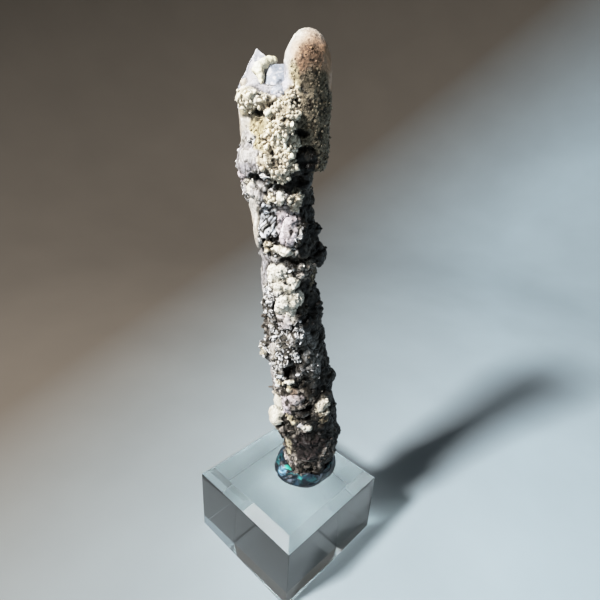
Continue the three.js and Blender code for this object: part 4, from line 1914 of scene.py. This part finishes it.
@dataclass(frozen=True)
class PuttyFinish:
    """The finish of kneaded putty: satin, with a fine smear.

    Attributes:
        name: The material's name.
        roughness: The range of its roughness, from smear to smear.
        bump: The depth of its fine unevenness, in metres.
        ior: How strongly it bends light.
    """

    name: str = "kneaded putty"
    roughness: Pair = (0.32, 0.52)
    bump: float = 0.00006
    ior: float = 1.47

    def build(self, effects: Effects) -> bpy.types.Material:
        """Makes the material."""
        material, tree, shader = new_material(self.name)
        mottle = effects.place(tree, effects.mottle, scale=1.4, depth=0.35)
        tree.join(tree.attribute("tint", colour=True), mottle.inputs["Tint"])
        tree.join(mottle.outputs["Color"], shader.inputs["Base Color"])
        smear = tree.noise(tree.millimetres(), 0.9, 4.0)
        roughness = tree.spread(smear.outputs["Fac"], 0.3, 0.7, *self.roughness)
        tree.join(roughness, shader.inputs["Roughness"])
        bump = tree.bump(mottle.outputs["Height"], self.bump)
        tree.join(bump.outputs["Normal"], shader.inputs["Normal"])
        shader.inputs["IOR"].default_value = self.ior
        return material


@dataclass(frozen=True)
class AcrylicFinish:
    """The finish of polished clear acrylic, with faint smears.

    Attributes:
        name: The material's name.
        tint: The colour that it gives to what is seen through it.
        smear: The range of its roughness, from smear to smear.
        passed: How much of each colour of light reaches what it shades.
        ior: How strongly it bends light.
    """

    name: str = "polished acrylic"
    tint: Triple = (0.96, 0.975, 0.97)
    smear: Pair = (0.0, 0.045)
    passed: Triple = (0.30, 0.32, 0.32)
    ior: float = 1.49

    def build(self, effects: Effects) -> bpy.types.Material:
        """Makes the material."""
        material, tree, shader = new_material(self.name)
        shader.inputs["Transmission Weight"].default_value = 1.0
        shader.inputs["IOR"].default_value = self.ior
        mottle = effects.place(tree, effects.mottle, scale=0.12, depth=0.02)
        mottle.inputs["Tint"].default_value = (*self.tint, 1.0)
        tree.join(mottle.outputs["Color"], shader.inputs["Base Color"])
        cloud = tree.noise(tree.millimetres(), 0.16, 5.0)
        roughness = tree.spread(cloud.outputs["Fac"], 0.45, 0.75, *self.smear)
        tree.join(roughness, shader.inputs["Roughness"])
        through = tree.add("BsdfTransparent")
        through.inputs["Color"].default_value = (*self.passed, 1.0)
        either = tree.add("MixShader")
        tree.join(tree.add("LightPath").outputs["Is Shadow Ray"], either.inputs["Fac"])
        tree.join(shader.outputs["BSDF"], either.inputs[1])
        tree.join(through.outputs["BSDF"], either.inputs[2])
        result = material.node_tree.nodes["Material Output"]
        tree.join(either.outputs["Shader"], result.inputs["Surface"])
        return material


@dataclass(frozen=True)
class BackdropFinish:
    """The finish of the pale floor, which darkens towards the back.

    Attributes:
        name: The material's name.
        near: The floor's colour by the block.
        far: Its colour at the back.
        way: The way in which it darkens.
        spread: How far that way the darkening starts and ends, in metres.
        roughness: How matt it is.
    """

    name: str = "pale backdrop"
    near: Triple = (0.455, 0.568, 0.638)
    far: Triple = (0.142, 0.119, 0.094)
    way: Triple = (-0.61, -0.31, 0.73)
    spread: Pair = (-0.056, 0.094)
    roughness: float = 0.9

    def build(self, effects: Effects) -> bpy.types.Material:
        """Makes the material."""
        material, tree, shader = new_material(self.name)
        along = tree.vector("DOT_PRODUCT", tree.add("TexCoord").outputs["Object"], self.way)
        share = tree.spread(along, *self.spread, 0.0, 1.0)
        shade = tree.mixed(share, self.near, self.far)
        mottle = effects.place(tree, effects.mottle, scale=0.02, depth=0.06)
        tree.join(shade, mottle.inputs["Tint"])
        tree.join(mottle.outputs["Color"], shader.inputs["Base Color"])
        shader.inputs["Roughness"].default_value = self.roughness
        return material


# ---- Studio ----


@dataclass(frozen=True)
class Lamp:
    """One soft light.

    Attributes:
        name: Its name.
        azimuth: Where it stands round the object, in degrees, with the camera at 42.4.
        elevation: How high it stands, in degrees.
        distance: How far it is, in metres.
        size: How wide it is, in metres.
        power: Its power, in watts.
        beam: How wide its beam is, in degrees.
        tint: Its colour.
    """

    name: str
    azimuth: float
    elevation: float
    distance: float
    size: float
    power: float
    beam: float = 180.0
    tint: Triple = (1.0, 1.0, 1.0)


@dataclass(frozen=True)
class Tones:
    """The camera's response: true at first, and easing softly to white in the bright parts.

    Attributes:
        knee: The brightness where the easing starts.
        reach: The brightness that gives white.
        steps: How many points draw the eased part.
    """

    knee: float = 0.35
    reach: float = 3.0
    steps: int = 12

    def answer(self, light: float) -> float:
        """Returns the brightness that comes out for a brightness above the knee."""
        room = 1 - self.knee
        return self.knee + room * (1 - math.exp((self.knee - light) / room))

    def apply(self) -> None:
        """Sets the response for the scene."""
        view = bpy.context.scene.view_settings
        view.view_transform = "Standard"
        view.use_curve_mapping = True
        mapping = view.curve_mapping
        mapping.white_level = (self.reach, self.reach, self.reach)
        curve = mapping.curves[3]
        for share in (0.25, 0.5, 0.75, 1.0):
            curve.points.new(share * self.knee / self.reach, share * self.knee)
        for step in range(1, self.steps):
            light = self.knee * (self.reach / self.knee) ** (step / self.steps)
            curve.points.new(light / self.reach, self.answer(light))
        curve.points[len(curve.points) - 1].location = (1.0, self.answer(self.reach))
        mapping.update()


def direction(azimuth: float, elevation: float) -> Vector:
    """Returns the way out to an azimuth and an elevation, in degrees; azimuth 0 lies at -Y."""
    turn, rise = math.radians(azimuth), math.radians(elevation)
    flat = math.cos(rise)
    return Vector((math.sin(turn) * flat, -math.cos(turn) * flat, math.sin(rise)))


@dataclass
class Studio:
    """The plain floor, the soft lights and the camera.

    Attributes:
        aim: The point that the lights look at, in metres.
        floor_gap: How far the floor lies under the block, in metres.
        flat: How far the floor stays flat, in metres.
        reach: How far out the backdrop ends, in metres.
        wall: How high it rises, in metres.
        sides: How many sides it has.
        bends: How many steps its rise has.
        dimness: How strong the surroundings' own light is.
        sheen: How strong they look through the clear block.
        air: Their colour.
        lamps: The lights.
        camera_place: Where the camera stands, in metres.
        camera_azimuth: Which side it looks from, in degrees.
        camera_elevation: How far down it looks, in degrees.
        camera_roll: How far it is rolled, in degrees.
        lens: Its focal length.
        sensor: How wide its sensor is.
    """

    aim: Vector
    floor_gap: float = 0.0001
    flat: float = 0.28
    reach: float = 0.85
    wall: float = 2.0
    sides: int = 96
    bends: int = 16
    dimness: float = 0.015
    sheen: float = 0.22
    air: Triple = (0.98, 0.95, 0.93)
    lamps: tuple[Lamp, ...] = (
        Lamp("key", -12.5, 42.0, 0.62, 0.09, 3.4, 110.0, (1.0, 0.98, 0.96)),
        Lamp("card", -27.3, 21.7, 0.59, 0.095, 0.14, 180.0, (1.0, 0.87, 0.84)),
        Lamp("fill", 228.0, 24.0, 0.7, 0.5, 0.06, 180.0, (1.0, 0.96, 0.9)),
    )
    camera_place: Triple = (0.0745, -0.0810, 0.1349)
    camera_azimuth: float = 42.425
    camera_elevation: float = 24.81
    camera_roll: float = 3.22
    lens: float = 27.6
    sensor: float = 36.0

    def build(self, backdrop: bpy.types.Material) -> None:
        """Makes the stage, the lights, the dim surroundings and the camera."""
        self.build_backdrop(backdrop)
        for lamp in self.lamps:
            self.build_lamp(lamp)
        self.build_surroundings()
        self.build_camera()

    def build_backdrop(self, material: bpy.types.Material) -> None:
        """Makes a round floor that curves up into a wall on every side."""
        profile = [(self.flat, 0.0)]
        bend = self.reach - self.flat
        for step in range(1, self.bends + 1):
            turn = math.radians(90 * step / self.bends)
            profile.append((self.flat + bend * math.sin(turn), self.wall * (1 - math.cos(turn))))
        around = self.sides
        places, faces = [(0.0, 0.0, -self.floor_gap)], []
        for radius, height in profile:
            for step in range(around):
                turn = 2 * math.pi * step / around
                right, away = radius * math.cos(turn), radius * math.sin(turn)
                places.append((right, away, height - self.floor_gap))
        for step in range(around):
            faces.append([0, 1 + step, 1 + (step + 1) % around])
        for ring in range(len(profile) - 1):
            low = 1 + ring * around
            for step in range(around):
                after = (step + 1) % around
                faces.append([low + step, low + around + step, low + around + after, low + after])
        floor = mesh_object("backdrop", np.array(places), faces)
        shade_smooth(floor)
        floor.data.materials.append(material)

    def build_lamp(self, lamp: Lamp) -> None:
        """Makes one soft light, aimed at the object."""
        light = bpy.data.lights.new(lamp.name, "AREA")
        light.size = lamp.size
        light.energy = lamp.power
        light.spread = math.radians(lamp.beam)
        light.color = lamp.tint
        made = bpy.data.objects.new(lamp.name, light)
        way = direction(lamp.azimuth, lamp.elevation)
        made.location = self.aim + way * lamp.distance
        made.rotation_euler = way.to_track_quat("Z", "Y").to_euler()
        bpy.context.scene.collection.objects.link(made)

    def build_surroundings(self) -> None:
        """Sets a dim, even light from all round, which looks brighter through the clear block."""
        world = bpy.data.worlds.new("surroundings")
        world.use_nodes = True
        background = world.node_tree.nodes["Background"]
        background.inputs["Color"].default_value = (*self.air, 1.0)
        tree = NodeTree(world.node_tree)
        refracted = tree.add("LightPath").outputs["Is Transmission Ray"]
        strength = tree.spread(refracted, 0.0, 1.0, self.dimness, self.sheen)
        tree.join(strength, background.inputs["Strength"])
        bpy.context.scene.world = world

    def build_camera(self) -> None:
        """Sets the camera, which looks a little down on the specimen and is slightly rolled."""
        lens = bpy.data.cameras.new("camera")
        lens.lens = self.lens
        lens.sensor_width = self.sensor
        lens.clip_start = MM
        made = bpy.data.objects.new("camera", lens)
        way = direction(self.camera_azimuth, self.camera_elevation)
        aimed = way.to_track_quat("Z", "Y").to_matrix().to_4x4()
        rolled = aimed @ Matrix.Rotation(math.radians(self.camera_roll), 4, "Z")
        made.matrix_world = Matrix.Translation(Vector(self.camera_place)) @ rolled
        bpy.context.scene.collection.objects.link(made)
        bpy.context.scene.camera = made


# ---- Assembly ----


@dataclass
class Specimen:
    """The crystal, the putty and the block, built and dressed in the row's frame.

    Attributes:
        space: The specimen's own space.
        effects: The shared node groups.
    """

    space: SpecimenSpace
    effects: Effects

    def finish_piece(
        self,
        made: Object,
        material: bpy.types.Material,
        stands_for: str | None = None,
        local: bool = True,
    ) -> None:
        """Turns one piece into the row's frame, dresses it and sets it on the object.

        Args:
            made: The piece.
            material: Its finish.
            stands_for: The frame's node that it replaces, if it replaces one.
            local: Whether it is still in the specimen's own space.
        """
        if local:
            set_vertices(made, self.space.to_frame(vertices_of(made)))
        made.data.materials.clear()
        made.data.materials.append(material)
        if stands_for:
            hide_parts(stands_for)
        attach(made, BODY)
        triangles = sum(len(face.vertices) - 2 for face in made.data.polygons)
        log.info("%s: %d triangles", made.name, triangles)

    def build(self) -> None:
        """Builds every piece, from the block up."""
        block = AcrylicBlock().build()
        acrylic = AcrylicFinish().build(self.effects)
        self.finish_piece(block, acrylic, "acrylic_block", local=False)
        shade_smooth(block, False)
        wad = PuttyWad(self.space).build()
        self.finish_piece(wad, PuttyFinish().build(self.effects), "putty_wad")
        skin = CrustFinish("crusted quartz").build(self.effects)
        grains = CrustFinish(
            "quartz grains", hollow_shade=0.7, frost=0.2, facet_scale=1.6, facet_tilt=0.12, glow=0.35
        ).build(self.effects)
        clear = CrustFinish(
            "pale quartz", hollow_shade=0.6, frost=0.3, facet_scale=1.2, facet_tilt=0.08, glow=0.3
        ).build(self.effects)
        column = QuartzColumn(self.space)
        column.build()
        pale = (Crust.CREAM, Crust.SUGAR, Crust.WHITE, Crust.TAN, Crust.PINK)
        dark = (Crust.UMBER, Crust.OLIVE, Crust.RUST, Crust.LAYERED)
        silver = (Crust.SILVER, Crust.BRONZE, Crust.BLADED)
        pieces = (
            Druse("pale_druse", column, pale, 401),
            Druse("dark_druse", column, dark, 402),
            Druse("silver_druse", column, silver, 403),
        )
        for piece in pieces:
            self.finish_piece(piece.build(), grains)
        self.finish_piece(Crown().build(), clear)
        self.finish_piece(Growths().build(), skin)
        for part in column.cut_in_two(PARTING_HEIGHT):
            self.finish_piece(part, skin, "quartz_crystal")


def main() -> None:
    """Builds the specimen and its studio, and reports each piece."""
    logging.basicConfig(level=logging.INFO, format="%(name)s: %(message)s")
    block_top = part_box("acrylic_block")[1].z
    foot = Vector((FOOT[0] * MM, FOOT[1] * MM, block_top))
    space = SpecimenSpace(foot, math.radians(FACING_DEGREES))
    effects = Effects()
    Specimen(space, effects).build()
    Studio(Vector((0.0, 0.0, AIM_HEIGHT))).build(BackdropFinish().build(effects))
    Tones().apply()


if __name__ == "__main__":
    main()
